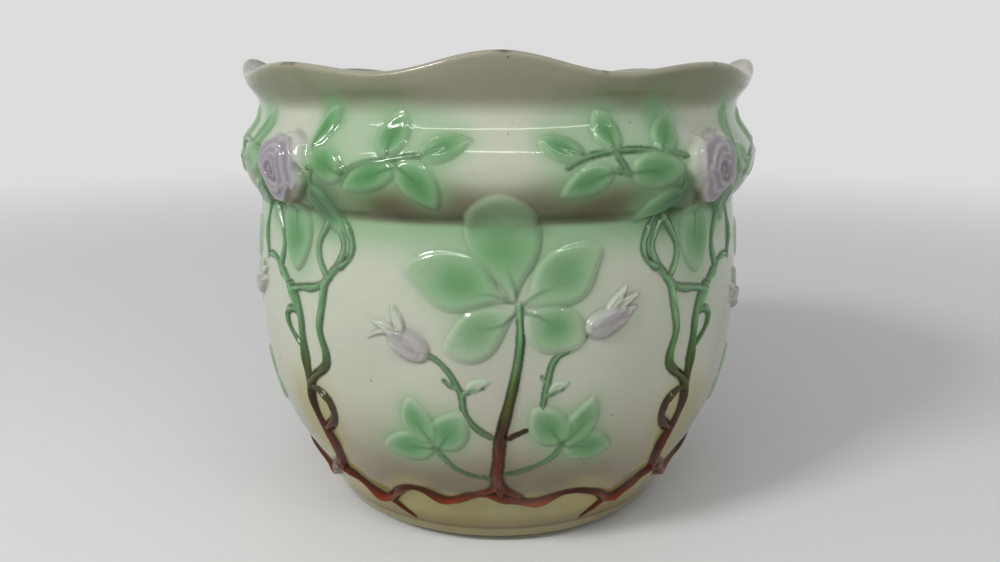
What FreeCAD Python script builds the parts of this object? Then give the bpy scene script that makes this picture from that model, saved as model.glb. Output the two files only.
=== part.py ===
import FreeCAD, Part
import math
import os

from FreeCAD import Vector

# A round jardiniere: a foot ring, a bowl-shaped belly, a rolled shoulder and a flared, waved rim,
# with rose bushes in relief on its four sides, a vine at each corner and a rose on each shoulder.
# Millimetres and degrees. Z is up, the origin is the centre of the foot's underside,
# and the front side looks along -Y. An azimuth is counted from the front towards +X.

# Driving dimensions of the turned shape
foot_radius = 104.0         # outer radius of the ring that the pot stands on
foot_width = 12.0           # width of that ring
foot_height = 5.0
heel_radius = 113.6         # belly just above the foot
belly_radius = 160.0        # widest belly
belly_widest = 145.0        # height of the widest belly
shoulder_radius = 155.8     # crease under the roll
shoulder_height = 207.0
roll_radius = 166.5         # widest roll
neck_radius = 154.6         # hollow between the roll and the rim
neck_height = 260.0
rim_radius = 166.3          # outside of the lip, at rim_height
rim_height = 291.0          # highest point of the lip
wall = 8.0
floor_thickness = 9.0
lip_thickness = 5.6
lip_rounding = 2.3
inside_rounding = 14.0      # between the floor and the wall, inside

# The waved rim: eight lobes, the four over the sides higher than the four over the corners
rim_lobes = 8
side_lobe_rise = 10.0       # crest over the dips, at the middle of a side
corner_lobe_rise = 5.5      # crest over the dips, at a corner

# The relief
side_count = 4
corner_azimuth = 45.0
trunk_thickness = 8.0
vine_thickness = 7.6
root_thickness = 6.6
twig_thickness = 3.4
tendril_thickness = 3.0
leaf_rise = 2.6             # leaves on the belly, over the wall
spray_leaf_rise = 2.4       # leaves on the roll
bud_rise = 5.0
relief_sink = 2.2           # how deep a relief's underside starts inside the wall
leaf_edge_lift = -0.6       # a leaf's edge, against the wall
stem_lift = 0.1             # a stem's middle over the wall, in thicknesses
rose_radius = 21.5
rose_rise = 8.0             # middle of the rose over the roll
rose_height = 231.0
rose_bend = 19.0            # radius of the rose's crown
rose_petals = 5
petal_place = 0.62          # of the rose's radius
petal_size = 0.42
petal_flatness = 0.34
whorl_turns = 1.6
whorl_inner = 3.4
whorl_outer = 11.6
whorl_thickness = 3.2
whorl_steps = 14

# The heights in the relief's lists are drawn on a wall of these heights, and follow the real one
drawn_foot = 5.0
drawn_shoulder = 207.0
drawn_neck = 260.0
drawn_rim = 291.0

# A leaf's outline: stations along it, and how its widest place and its fullness lie
leaf_stations = [0.0, 0.1, 0.25, 0.45, 0.65, 0.82, 0.94, 1.0]
leaf_skew = 0.85
leaf_roundness = 0.62
leaf_tip_share = 0.07

# Shares of the rise and of the swell, from the heel to the widest belly
belly_shape = [(0.0, 0.0), (0.15, 0.235), (0.41, 0.685), (0.64, 0.905), (1.0, 1.0)]
# Shares of the roll's height and of its bulge, from the crease to the neck
roll_shape = [(0.0, 0.0), (0.075, 0.36), (0.17, 0.66), (0.34, 0.93), (0.48, 1.0),
              (0.62, 0.89), (0.755, 0.55), (0.87, 0.18), (1.0, 0.0)]
# Shares of the rim's height and of its flare, from the neck to the lip
rim_shape = [(0.0, 0.0), (0.13, 0.04), (0.3, 0.24), (0.5, 0.53), (0.75, 0.83), (1.0, 1.0)]


def spline(points):
    curve = Part.BSplineCurve()
    curve.interpolate([Vector(radius, 0, height) for radius, height in points])
    return curve


def belly_points(inset=0.0):
    rise = belly_widest - foot_height
    swell = belly_radius - heel_radius
    points = [(heel_radius + out * swell - inset, foot_height + up * rise) for up, out in belly_shape]
    points.append((shoulder_radius - inset, shoulder_height))
    return points


def roll_points(inset=0.0):
    middle = (shoulder_radius + neck_radius) / 2
    points = []
    for up, out in roll_shape:
        base = shoulder_radius + up * (neck_radius - shoulder_radius)
        points.append((base + out * (roll_radius - middle) - inset,
                       shoulder_height + up * (neck_height - shoulder_height)))
    return points


def rim_points(inset=0.0, top_inset=0.0):
    points = []
    for up, out in rim_shape:
        points.append((neck_radius + out * (rim_radius - neck_radius) - inset - up * (top_inset - inset),
                       neck_height + up * (rim_height - neck_height)))
    return points


belly_curve = spline(belly_points())
roll_curve = spline(roll_points())
rim_curve = spline(rim_points())


def wall_radius(height):
    """Outside radius of the turned wall at a height."""
    if height <= shoulder_height:
        curve = belly_curve
    elif height <= neck_height:
        curve = roll_curve
    else:
        curve = rim_curve
    low, high = curve.FirstParameter, curve.LastParameter
    for _ in range(30):
        middle = (low + high) / 2
        if curve.value(middle).z < height:
            low = middle
        else:
            high = middle
    return curve.value(low).x


def real_height(drawn):
    """Height on this pot of a height in the relief's lists."""
    if drawn <= drawn_shoulder:
        share = (drawn - drawn_foot) / (drawn_shoulder - drawn_foot)
        return foot_height + share * (shoulder_height - foot_height)
    if drawn <= drawn_neck:
        share = (drawn - drawn_shoulder) / (drawn_neck - drawn_shoulder)
        return shoulder_height + share * (neck_height - shoulder_height)
    share = (drawn - drawn_neck) / (drawn_rim - drawn_neck)
    return neck_height + share * (rim_height - neck_height)


def on_wall(azimuth, drawn, lift=0.0):
    """Point on the outside wall, moved out by lift."""
    height = real_height(drawn)
    radius = wall_radius(height) + lift
    angle = math.radians(azimuth)
    return Vector(radius * math.sin(angle), -radius * math.cos(angle), height)


def turned(outer, inner):
    """Solid turned round Z between an outer and an inner profile of (radius, height) points."""
    edges = []
    ends = []
    for points in (outer, inner):
        curve = spline(points)
        edges.append(curve.toShape())
        ends.append((curve.StartPoint, curve.EndPoint))
    edges.append(Part.makeLine(ends[0][0], ends[1][0]))
    edges.append(Part.makeLine(ends[0][1], ends[1][1]))
    wire = Part.Wire(Part.__sortEdges__(edges))
    return Part.Face(wire).revolve(Vector(0, 0, 0), Vector(0, 0, 1), 360)


def filled(curves):
    """Solid turned round Z from a profile, one or more curves going up, to the axis."""
    start, end = curves[0].StartPoint, curves[-1].EndPoint
    edges = [curve.toShape() for curve in curves]
    edges += [Part.makeLine(end, Vector(0, 0, end.z)),
              Part.makeLine(Vector(0, 0, end.z), Vector(0, 0, start.z)),
              Part.makeLine(Vector(0, 0, start.z), start)]
    return Part.Face(Part.Wire(edges)).revolve(Vector(0, 0, 0), Vector(0, 0, 1), 360)


def foot_ring():
    outer = Part.makeCylinder(foot_radius, foot_height)
    return outer.cut(Part.makeCylinder(foot_radius - foot_width, foot_height))


def belly():
    """Wall and floor: the bowl less its inside, rounded where the wall meets the floor."""
    floor_top = foot_height + floor_thickness
    inside = filled([spline(belly_points(wall))])
    inside = inside.cut(Part.makeCylinder(heel_radius, floor_thickness, Vector(0, 0, foot_height)))
    corner = [edge for edge in inside.Edges if abs(edge.BoundBox.ZMax - floor_top) < 0.01
              and abs(edge.BoundBox.ZMin - floor_top) < 0.01]
    return filled([belly_curve]).cut(inside.makeFillet(inside_rounding, corner))


def shoulder_roll():
    return turned(roll_points(), roll_points(wall))


def crest(azimuth):
    """Height of the waved lip."""
    angle = math.radians(azimuth)
    middle_rise = (side_lobe_rise + corner_lobe_rise) / 2
    rise = middle_rise + (side_lobe_rise - corner_lobe_rise) / 2 * math.cos(side_count * angle)
    return rim_height - side_lobe_rise + rise * (1 + math.cos(rim_lobes * angle)) / 2


def rim_collar():
    collar = turned(rim_points(), rim_points(wall, lip_thickness))
    rings = []
    for radius in (neck_radius - 2 * wall, rim_radius + wall):
        steps = rim_lobes * 8
        points = []
        for step in range(steps):
            azimuth = 360.0 * step / steps
            angle = math.radians(azimuth)
            points.append(Vector(radius * math.sin(angle), -radius * math.cos(angle), crest(azimuth)))
        ring = Part.BSplineCurve()
        ring.interpolate(points, True)
        rings.append(ring.toShape())
    above = Part.makeRuledSurface(rings[0], rings[1]).extrude(Vector(0, 0, rim_height))
    collar = collar.cut(above)
    lip = [edge for edge in collar.Edges if edge.BoundBox.ZMax > rim_height - side_lobe_rise
           and edge.BoundBox.ZMin > neck_height + 1 and edge.Length > rim_radius]
    return collar.makeFillet(lip_rounding, lip)


def flat(azimuth, drawn):
    """Point of the wall unrolled: millimetres along the belly, millimetres up."""
    return math.radians(azimuth) * belly_radius, drawn


def ring(centre, along, outward, radius):
    """Circle square to a path, which starts at its outward side, so that a loft doesn't twist."""
    circle = Part.makeCircle(radius)
    turn = FreeCAD.Rotation(outward, along.cross(outward), along, "ZXY")
    circle.Placement = FreeCAD.Placement(centre, turn)
    return Part.Wire(circle)


def stem(points, thickness):
    """Tapered round stem along (azimuth, height, share of the thickness), half sunk in the wall."""
    path = Part.BSplineCurve()
    path.interpolate([on_wall(azimuth, drawn, thickness * share * stem_lift)
                      for azimuth, drawn, share in points])
    sections = []
    for azimuth, drawn, share in points:
        centre = on_wall(azimuth, drawn, thickness * share * stem_lift)
        along = path.tangent(path.parameter(centre))[0]
        outward = on_wall(azimuth, drawn, 1) - on_wall(azimuth, drawn)
        sections.append(ring(centre, along, outward, thickness * share / 2))
    return Part.makeLoft(sections, True, False)


def leaf(midrib, width, rise):
    """Lens-shaped leaf over a midrib of (azimuth, height): base, middle and tip."""
    (a0, h0), (a1, h1), (a2, h2) = midrib
    sections = []
    for share in leaf_stations:
        azimuth = (1 - share) ** 2 * a0 + 2 * share * (1 - share) * a1 + share ** 2 * a2
        drawn = (1 - share) ** 2 * h0 + 2 * share * (1 - share) * h1 + share ** 2 * h2
        along_azimuth = (1 - share) * (a1 - a0) + share * (a2 - a1)
        along_x, along_y = flat(along_azimuth, (1 - share) * (h1 - h0) + share * (h2 - h1))
        length = math.hypot(along_x, along_y)
        fullness = max(leaf_tip_share, math.sin(math.pi * share ** leaf_skew) ** leaf_roundness)
        side = width / 2 * fullness / length
        over_azimuth = math.degrees(-along_y * side / belly_radius)
        over_drawn = along_x * side
        left = on_wall(azimuth + over_azimuth, drawn + over_drawn, leaf_edge_lift)
        right = on_wall(azimuth - over_azimuth, drawn - over_drawn, leaf_edge_lift)
        middle = (left + right) / 2
        outward = on_wall(azimuth, drawn, 1) - on_wall(azimuth, drawn)
        crown = (on_wall(azimuth, drawn, rise * fullness ** 0.5) - middle).dot(outward)
        sink = (on_wall(azimuth, drawn, -relief_sink) - middle).dot(outward)
        above = middle + outward * crown
        below = middle + outward * sink
        top = Part.Arc(left, above, right).toShape()
        under = Part.Arc(right, below, left).toShape()
        sections.append(Part.Wire([top, under]))
    return Part.makeLoft(sections, True, False)


def united(solids):
    """One solid from overlapping ones, joined one at a time."""
    whole = solids[0]
    for solid in solids[1:]:
        whole = whole.fuse(solid)
    return whole


# Relief on one side, drawn at the front

def trunk():
    main = stem([(0.6, 43, 1.3), (-0.2, 56, 0.95), (0.1, 72, 0.8), (0.4, 86, 0.8), (1.4, 100, 0.7),
                 (2.6, 115, 0.6), (3.6, 130, 0.5), (4.2, 146, 0.43), (4.0, 162, 0.45)], trunk_thickness)
    twig = stem([(0.8, 86, 0.8), (3.0, 89, 0.65), (5.6, 92.5, 0.4)], twig_thickness)
    return united([main, twig])


def leaf_cluster():
    leaves = [leaf([(3.6, 163), (2.6, 195), (0.4, 222)], 36, leaf_rise),
              leaf([(3.4, 163.5), (-6, 178), (-18, 179)], 31, leaf_rise),
              leaf([(4.4, 163), (11, 172), (20.3, 191)], 30, leaf_rise),
              leaf([(3.4, 160), (-4, 155), (-10, 136.5)], 27, leaf_rise),
              leaf([(4.6, 160), (11, 155), (16.8, 143)], 26, leaf_rise)]
    return united(leaves)


def left_bud():
    stalk = stem([(-1.0, 88, 1.1), (-3.4, 92, 1.05), (-5.5, 98, 1.05), (-6.7, 105, 1.0), (-7.0, 113, 1.0),
                  (-8.0, 120, 0.95), (-9.5, 127, 0.95), (-11.6, 133, 0.9), (-14.5, 137, 1.1)], twig_thickness)
    thorn = stem([(-8.0, 118, 0.8), (-9.2, 119.5, 0.6), (-10.4, 122, 0.3)], twig_thickness)
    side_twig = stem([(-7.0, 113, 0.8), (-5.5, 117, 0.8), (-3.0, 118.6, 0.4)], twig_thickness)
    hook = stem([(-18.5, 146, 1.4), (-21.0, 146.4, 1.2), (-23.4, 146, 1.0), (-26.0, 142, 0.4)], twig_thickness)
    body = leaf([(-13.6, 135.5), (-17, 140), (-21.5, 147)], 15, bud_rise)
    petals = [leaf([(-18.5, 144), (-19.2, 152), (-20.6, 162)], 6, leaf_rise),
              leaf([(-19.5, 145), (-22, 149), (-25, 152)], 5, leaf_rise)]
    return united([body, stalk, thorn, side_twig, hook] + petals)


def right_bud():
    stalk = stem([(8.6, 103, 1.0), (8.9, 110, 1.0), (9.2, 117, 1.0), (9.7, 124, 1.0), (10.3, 131, 0.95),
                  (11.8, 136.5, 0.95), (14.2, 139.3, 0.9), (16.2, 143.5, 0.9), (17.6, 150, 1.1)],
                 twig_thickness)
    thorn = stem([(9.6, 120, 0.8), (9.0, 121.8, 0.6), (8.5, 124.5, 0.3)], twig_thickness)
    side_twig = stem([(9.1, 113, 0.8), (10.6, 115.4, 0.8), (12.5, 117, 0.4)], twig_thickness)
    body = leaf([(17.0, 148.5), (20.5, 152), (26.5, 157)], 14, bud_rise)
    petals = [leaf([(19, 150), (23, 161), (28.4, 166)], 8, leaf_rise),
              leaf([(19, 152), (23, 162), (25.6, 171)], 6, leaf_rise),
              leaf([(20, 151), (24, 158), (28, 158.5)], 6, leaf_rise)]
    return united([body, stalk, thorn, side_twig] + petals)


def left_sprig():
    stalk = stem([(-13.4, 84, 0.9), (-12.8, 78.5, 0.95), (-11.4, 72.5, 1.0), (-9.4, 66, 1.0),
                  (-6.5, 61.6, 1.0), (-3.2, 59.6, 1.0), (-0.4, 59, 1.0)], tendril_thickness)
    leaves = [leaf([(-13.4, 85), (-17.5, 95), (-17.5, 110.5)], 17, leaf_rise),
              leaf([(-13.2, 80), (-18.5, 80), (-25, 76.5)], 20, leaf_rise),
              leaf([(-12.6, 79.5), (-10, 90), (-7, 103)], 22, leaf_rise)]
    return united([stalk] + leaves)


def right_sprig():
    stalk = stem([(13.5, 83, 0.9), (12.4, 76.5, 0.95), (10.0, 70.3, 1.0), (6.2, 65.6, 1.0),
                  (3.2, 63, 1.0), (0.6, 61.8, 1.0)], tendril_thickness)
    leaves = [leaf([(13.4, 84), (18, 93), (19, 110)], 17, leaf_rise),
              leaf([(13.6, 81), (19, 80), (24.6, 76.5)], 20, leaf_rise),
              leaf([(13.0, 83), (10.5, 94), (6.8, 106)], 21, leaf_rise)]
    return united([stalk] + leaves)


def root_band():
    """Roots along the foot of one side, alike towards both its corners."""
    corner = [(46.5, 46.5, 1.25), (44, 45, 1.2), (41, 41.5, 1.15), (37.5, 34.5, 1.15), (34, 29, 1.3), (31, 29.5, 1.2),
              (28, 35, 0.95)]
    middle = [(-25, 41, 0.75), (-21.5, 44.5, 0.7), (-18, 43, 0.85), (-15, 39, 1.0), (-12, 37.8, 1.1),
              (-9, 40.5, 0.95), (-6, 44, 0.75), (-3, 45, 0.8), (0, 44, 1.4), (3, 42, 1.2), (6, 38.6, 1.15),
              (9, 36.8, 1.2), (12, 38.4, 1.1), (15, 41.6, 0.85), (18.5, 43, 0.7), (22, 41.4, 0.7),
              (25, 38.6, 0.75)]
    left = [(-azimuth, drawn, share) for azimuth, drawn, share in corner]
    span = 4 * belly_radius
    band = stem(left + middle + corner[::-1], root_thickness)
    spurs = [stem([(side * 31, 28, 0.8), (side * 28.5, 21.5, 0.6), (side * 25.5, 15.5, 0.25)], root_thickness)
             for side in (-1, 1)]
    band = united([band] + spurs)
    for side in (-1, 1):
        beyond = Part.makeBox(span, span, span, Vector(0, -span / 2, -span / 2))
        beyond.rotate(Vector(0, 0, 0), Vector(0, 0, 1), corner_azimuth)
        if side < 0:
            beyond = beyond.mirror(Vector(0, 0, 0), Vector(1, 0, 0))
        band = band.cut(beyond)
    return band


def left_spray():
    stalk = stem([(-29, 225, 0.7), (-27, 232, 0.9), (-24, 236, 1.0), (-20, 237.8, 1.0), (-16.5, 239.5, 0.9),
                  (-13, 240.8, 0.8)], tendril_thickness)
    reach = stem([(-27, 232, 0.8), (-31, 233, 0.9), (-37.4, 232, 0.8)], tendril_thickness)
    leaves = [leaf([(-13.6, 240), (-10, 245), (-4.6, 248)], 14, spray_leaf_rise),
              leaf([(-19.4, 239), (-20, 250), (-17.4, 261.5)], 17, spray_leaf_rise),
              leaf([(-17.8, 235), (-23, 230), (-29, 222.5)], 15, spray_leaf_rise),
              leaf([(-18, 236), (-13, 228), (-11, 213.5)], 18, spray_leaf_rise),
              leaf([(-28.6, 230), (-33, 233), (-36.4, 243)], 18, spray_leaf_rise),
              leaf([(-36.2, 241), (-35.5, 254), (-31.5, 264)], 12, spray_leaf_rise),
              leaf([(-36.6, 220), (-35.5, 212), (-31.5, 208.6)], 13, spray_leaf_rise)]
    drop = stem([(-35.6, 232.6, 0.8), (-36.9, 226, 0.8), (-36.4, 218, 0.7)], tendril_thickness)
    return united([stalk, reach, drop] + leaves)


def right_spray():
    stalk = stem([(12, 235, 0.7), (15.4, 239.6, 0.9), (20, 242, 1.0), (25, 242.6, 1.0), (31, 241, 0.9),
                  (37.4, 238, 0.8)], tendril_thickness)
    twig = stem([(20.8, 242, 0.9), (22.2, 236, 0.9), (23.6, 230.5, 0.7)], tendril_thickness)
    low_twig = stem([(23.6, 230.5, 0.8), (21.5, 232.4, 0.8), (19, 232, 0.7)], tendril_thickness)
    leaves = [leaf([(15, 240.5), (11, 244), (7, 248.5)], 13, spray_leaf_rise),
              leaf([(20.4, 242), (20.8, 252), (18, 262)], 15, spray_leaf_rise),
              leaf([(20.4, 232.5), (15.5, 229), (11, 220.5)], 15, spray_leaf_rise),
              leaf([(23.8, 231.5), (29, 233), (36.4, 231)], 19, spray_leaf_rise),
              leaf([(30, 240.5), (33, 248), (35.5, 262)], 16, spray_leaf_rise),
              leaf([(36.6, 219), (32, 216), (26.5, 210.5)], 13, spray_leaf_rise)]
    drop = stem([(35.4, 231.5, 0.8), (36.9, 225, 0.8), (36.2, 217.5, 0.7)], tendril_thickness)
    return united([stalk, twig, low_twig, drop] + leaves)


def vine():
    """Vine of the corner at 45 degrees; its neighbours are mirror images."""
    main = stem([(45.5, 38, 0.6), (44.4, 47, 1.3), (42.4, 55, 1.25), (41.2, 63, 1.2), (41.6, 70, 1.0),
                 (43.2, 78, 0.85), (44.2, 88, 0.8), (44.3, 98, 0.9), (44.2, 109, 1.0), (44.1, 120, 0.95),
                 (44.5, 132, 0.9), (45.0, 145, 0.9), (46.4, 155, 1.0), (48.2, 162, 0.85)], vine_thickness)
    inner = stem([(44.2, 103, 0.8), (42.0, 110.5, 0.8), (39.2, 116, 0.85), (37.3, 122.5, 0.75),
                  (37.7, 131, 0.7), (38.7, 140, 0.7), (38.2, 150, 0.75), (37.4, 160, 0.75),
                  (36.7, 168, 0.7), (35.0, 173.5, 0.6), (32.4, 179, 0.5), (29.6, 184, 0.2)], vine_thickness)
    loop = stem([(44.0, 103, 0.7), (41.2, 101.6, 0.7), (38.8, 97.5, 0.75), (37.8, 90.5, 0.8),
                 (38.6, 84, 0.8), (41.2, 78.5, 0.8), (44.2, 73.5, 0.8), (46.8, 68.5, 0.75),
                 (48.6, 63, 0.6), (49.6, 58, 0.3)], vine_thickness)
    link = stem([(47.2, 160.5, 0.8), (44.4, 162.6, 0.62), (41, 163.8, 0.6), (37.2, 167, 0.7)], vine_thickness)
    branch = stem([(47.2, 158.5, 0.85), (50, 164.5, 0.8), (52.8, 170.5, 0.75), (55.6, 174.6, 0.55),
                   (59, 175.6, 0.45), (62.4, 172.2, 0.2)], vine_thickness)
    tendrils = [[(45, 127, 0.9), (47.8, 132, 1.0), (49.9, 138, 1.0), (50.2, 144.6, 1.0), (48.6, 148, 0.9),
                 (46, 147.5, 0.9)],
                [(32.4, 179, 0.9), (30.2, 184.5, 0.9), (29.6, 190, 0.9), (30.4, 198, 0.9), (32.2, 206, 0.9)],
                [(36.2, 172, 1.0), (38, 179.5, 0.95), (38.5, 188, 0.9), (37, 197, 0.9), (34.6, 206, 0.9)],
                [(34.8, 175, 0.9), (32.6, 181.5, 0.9), (31.6, 190, 0.9), (32.6, 198, 0.9), (35, 206, 0.9)],
                [(52.8, 171, 1.0), (51.8, 179.5, 0.95), (51.6, 188, 0.9), (53, 197, 0.9), (55.4, 206, 0.9)],
                [(60.6, 174.6, 0.9), (61.8, 182, 0.9), (62.2, 190, 0.9), (61.4, 198, 0.9), (59.8, 206, 0.9)]]
    strands = [stem(points, tendril_thickness) for points in tendrils]
    return united([main, inner, loop, link, branch] + strands)


def rose():
    """Rose of the corner at 45 degrees: a dome, petals and a whorl, and the leaf that hangs below."""
    steps = 8
    dome = []
    for step in range(steps + 1):
        out = rose_radius * step / steps
        dome.append(Vector(out, 0, rose_rise - out ** 2 / (2 * rose_bend)))
    crown = Part.BSplineCurve()
    crown.interpolate(dome)
    foot = -2 * rose_rise
    edges = [crown.toShape(),
             Part.makeLine(dome[-1], Vector(rose_radius, 0, foot)),
             Part.makeLine(Vector(rose_radius, 0, foot), Vector(0, 0, foot)),
             Part.makeLine(Vector(0, 0, foot), dome[0])]
    solids = [Part.Face(Part.Wire(edges)).revolve(Vector(0, 0, 0), Vector(0, 0, 1), 360)]
    for number in range(rose_petals):
        angle = 2 * math.pi * number / rose_petals
        away = rose_radius * petal_place
        petal = Part.makeSphere(rose_radius * petal_size)
        flatten = FreeCAD.Matrix()
        flatten.scale(1, 1, petal_flatness)
        petal = petal.transformGeometry(flatten)
        petal.translate(Vector(away * math.cos(angle), away * math.sin(angle),
                               rose_rise - away ** 2 / (2 * rose_bend)))
        solids.append(petal)
    whorl = []
    for step in range(whorl_steps + 1):
        share = step / whorl_steps
        angle = 2 * math.pi * whorl_turns * share
        out = whorl_inner + (whorl_outer - whorl_inner) * share
        whorl.append(Vector(out * math.cos(angle), out * math.sin(angle),
                            rose_rise - out ** 2 / (2 * rose_bend) + whorl_thickness * stem_lift))
    path = Part.BSplineCurve()
    path.interpolate(whorl)
    rings = []
    for point in whorl:
        along = path.tangent(path.parameter(point))[0]
        rings.append(ring(point, along, Vector(0, 0, 1), whorl_thickness / 2))
    solids.append(Part.makeLoft(rings, True, False))
    flower = united(solids)
    flower.rotate(Vector(0, 0, 0), Vector(1, 0, 0), 90)
    flower.translate(Vector(0, -roll_radius, real_height(rose_height)))
    hanging_leaf = leaf([(0, 216), (0, 192), (0, 171.5)], 23, leaf_rise)
    flower = united([flower, hanging_leaf])
    flower.rotate(Vector(0, 0, 0), Vector(0, 0, 1), corner_azimuth)
    return flower


def turned_copy(shape, azimuth):
    copy = shape.copy()
    copy.rotate(Vector(0, 0, 0), Vector(0, 0, 1), azimuth)
    return copy


def mirrored(shape):
    """The other hand, across the plane X = 0."""
    return shape.mirror(Vector(0, 0, 0), Vector(1, 0, 0))


core = filled([belly_curve, roll_curve, rim_curve])
roots = root_band().cut(core)
corner_roots = turned_copy(roots, 360 / side_count)
bush = trunk().cut(core).cut(roots)
leaves = leaf_cluster().cut(core).cut(bush)
left_twigs = left_sprig().cut(core).cut(bush)
right_twigs = right_sprig().cut(core).cut(bush)
side_pieces = {
    "trunk": bush,
    "rose_leaves": leaves,
    "left_bud": left_bud().cut(core).cut(bush).cut(leaves),
    "right_bud": right_bud().cut(core).cut(leaves).cut(right_twigs),
    "left_sprig": left_twigs,
    "right_sprig": right_twigs,
    "roots": roots,
}
corner_rose = rose().cut(core)
side_pieces["right_spray"] = right_spray().cut(core).cut(corner_rose)
side_pieces["left_spray"] = left_spray().cut(core).cut(turned_copy(corner_rose, -2 * corner_azimuth))
corner_vine = vine().cut(core).cut(roots).cut(corner_roots)

pieces = {"foot_ring": foot_ring(), "belly": belly(), "shoulder_roll": shoulder_roll(),
          "rim_collar": rim_collar()}
for number, side in enumerate(["front", "right", "back", "left"]):
    for name, shape in side_pieces.items():
        pieces[side + "_side_" + name] = turned_copy(shape, number * 360 / side_count)
for number, corner in enumerate(["front_right", "back_right", "back_left", "front_left"]):
    pieces[corner + "_rose"] = turned_copy(corner_rose, number * 360 / side_count)
    hand = corner_vine if number % 2 == 0 else mirrored(corner_vine)
    pieces[corner + "_vine"] = turned_copy(hand, (number + number % 2) * 360 / side_count)

os.makedirs("parts", exist_ok=True)
for name, shape in pieces.items():
    solids = shape.Solids
    print(name, len(solids), "valid" if shape.isValid() else "NOT VALID", round(shape.Volume / 1000, 2), "cm3")
    body = solids[0] if len(solids) == 1 else Part.Compound(solids)
    body.exportStep("parts/" + name + ".step")
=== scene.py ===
import math
import bpy
import numpy as np
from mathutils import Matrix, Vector

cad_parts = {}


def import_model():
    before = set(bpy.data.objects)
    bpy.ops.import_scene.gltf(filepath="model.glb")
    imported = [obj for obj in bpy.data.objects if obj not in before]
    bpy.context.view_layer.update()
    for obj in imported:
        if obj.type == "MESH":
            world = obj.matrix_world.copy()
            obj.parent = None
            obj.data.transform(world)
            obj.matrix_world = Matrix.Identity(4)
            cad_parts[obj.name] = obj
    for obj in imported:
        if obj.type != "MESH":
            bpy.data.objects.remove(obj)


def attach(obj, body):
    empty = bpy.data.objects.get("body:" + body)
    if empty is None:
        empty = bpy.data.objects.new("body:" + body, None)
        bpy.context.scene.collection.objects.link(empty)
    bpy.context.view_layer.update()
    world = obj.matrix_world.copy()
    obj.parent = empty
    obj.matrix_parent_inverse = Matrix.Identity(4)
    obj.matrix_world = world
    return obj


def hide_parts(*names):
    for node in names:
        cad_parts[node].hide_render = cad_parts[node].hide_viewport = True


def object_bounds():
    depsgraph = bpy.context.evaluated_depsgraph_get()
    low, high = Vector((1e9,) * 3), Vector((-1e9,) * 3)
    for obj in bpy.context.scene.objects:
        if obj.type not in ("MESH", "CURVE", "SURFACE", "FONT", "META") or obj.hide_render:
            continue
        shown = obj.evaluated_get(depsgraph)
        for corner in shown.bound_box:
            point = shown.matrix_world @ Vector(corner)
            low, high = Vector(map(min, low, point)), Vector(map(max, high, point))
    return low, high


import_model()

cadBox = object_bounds()
mm = 0.001

# Lengths are in millimetres here and become metres when a mesh is made. An azimuth is counted in
# degrees from the front, which looks along -Y, towards +X.
pot = dict(footRadius=104.0, footWidth=12.0, footHeight=5.0, heelRadius=113.6, bellyRadius=160.0,
           bellyWidest=145.0, shoulderRadius=155.8, shoulderHeight=207.0, rollRadius=166.5,
           neckRadius=154.6, neckHeight=260.0, rimRadius=166.3, rimHeight=291.0, wall=8.0,
           floorTop=14.0, lipWall=5.6, sideRise=10.0, cornerRise=5.5, lobes=8, sides=4,
           creaseRounding=1.3, segments=360)
# the wall's zones: share of the way up, share of the way out
bellyShape = [(0, 0), (0.15, 0.235), (0.41, 0.685), (0.64, 0.905), (1, 1)]
rollShape = [(0, 0), (0.075, 0.36), (0.17, 0.66), (0.34, 0.93), (0.48, 1), (0.62, 0.89), (0.755, 0.55),
             (0.87, 0.18), (1, 0)]
rimShape = [(0, 0), (0.13, 0.04), (0.3, 0.24), (0.5, 0.53), (0.75, 0.83), (1, 1)]


def smoothLine(points, count):
    # cubic spline through the points, sampled evenly along it
    knots = np.array(points, float)
    gaps = np.linalg.norm(np.diff(knots, axis=0), axis=1)
    place = np.concatenate([[0.0], np.cumsum(gaps)])
    size = len(knots)
    system = np.eye(size)
    target = np.zeros_like(knots)
    for i in range(1, size - 1):
        system[i, i - 1:i + 2] = gaps[i - 1], 2 * (gaps[i - 1] + gaps[i]), gaps[i]
        target[i] = 6 * ((knots[i + 1] - knots[i]) / gaps[i] - (knots[i] - knots[i - 1]) / gaps[i - 1])
    bend = np.linalg.solve(system, target)
    at = np.linspace(0, place[-1], count)
    span = np.clip(np.searchsorted(place, at, side="right") - 1, 0, size - 2)
    gap = gaps[span][:, None]
    a = (place[span + 1] - at)[:, None] / gap
    b = (at - place[span])[:, None] / gap
    return (a * knots[span] + b * knots[span + 1]
            + ((a ** 3 - a) * bend[span] + (b ** 3 - b) * bend[span + 1]) * gap ** 2 / 6)


def step(low, high, value):
    share = np.clip((value - low) / (high - low), 0, 1)
    return share * share * (3 - 2 * share)


def blur(values, reach, axis=0):
    # weighted mean over neighbours, with the ends held
    size = max(1, int(3 * reach))
    weights = np.exp(-0.5 * (np.arange(-size, size + 1) / reach) ** 2)
    weights /= weights.sum()
    pad = [(0, 0)] * values.ndim
    pad[axis] = (size, size)
    padded = np.pad(values, pad, mode="edge")
    count = values.shape[axis]
    return sum(w * np.take(padded, np.arange(i, i + count), axis=axis) for i, w in enumerate(weights))


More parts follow.
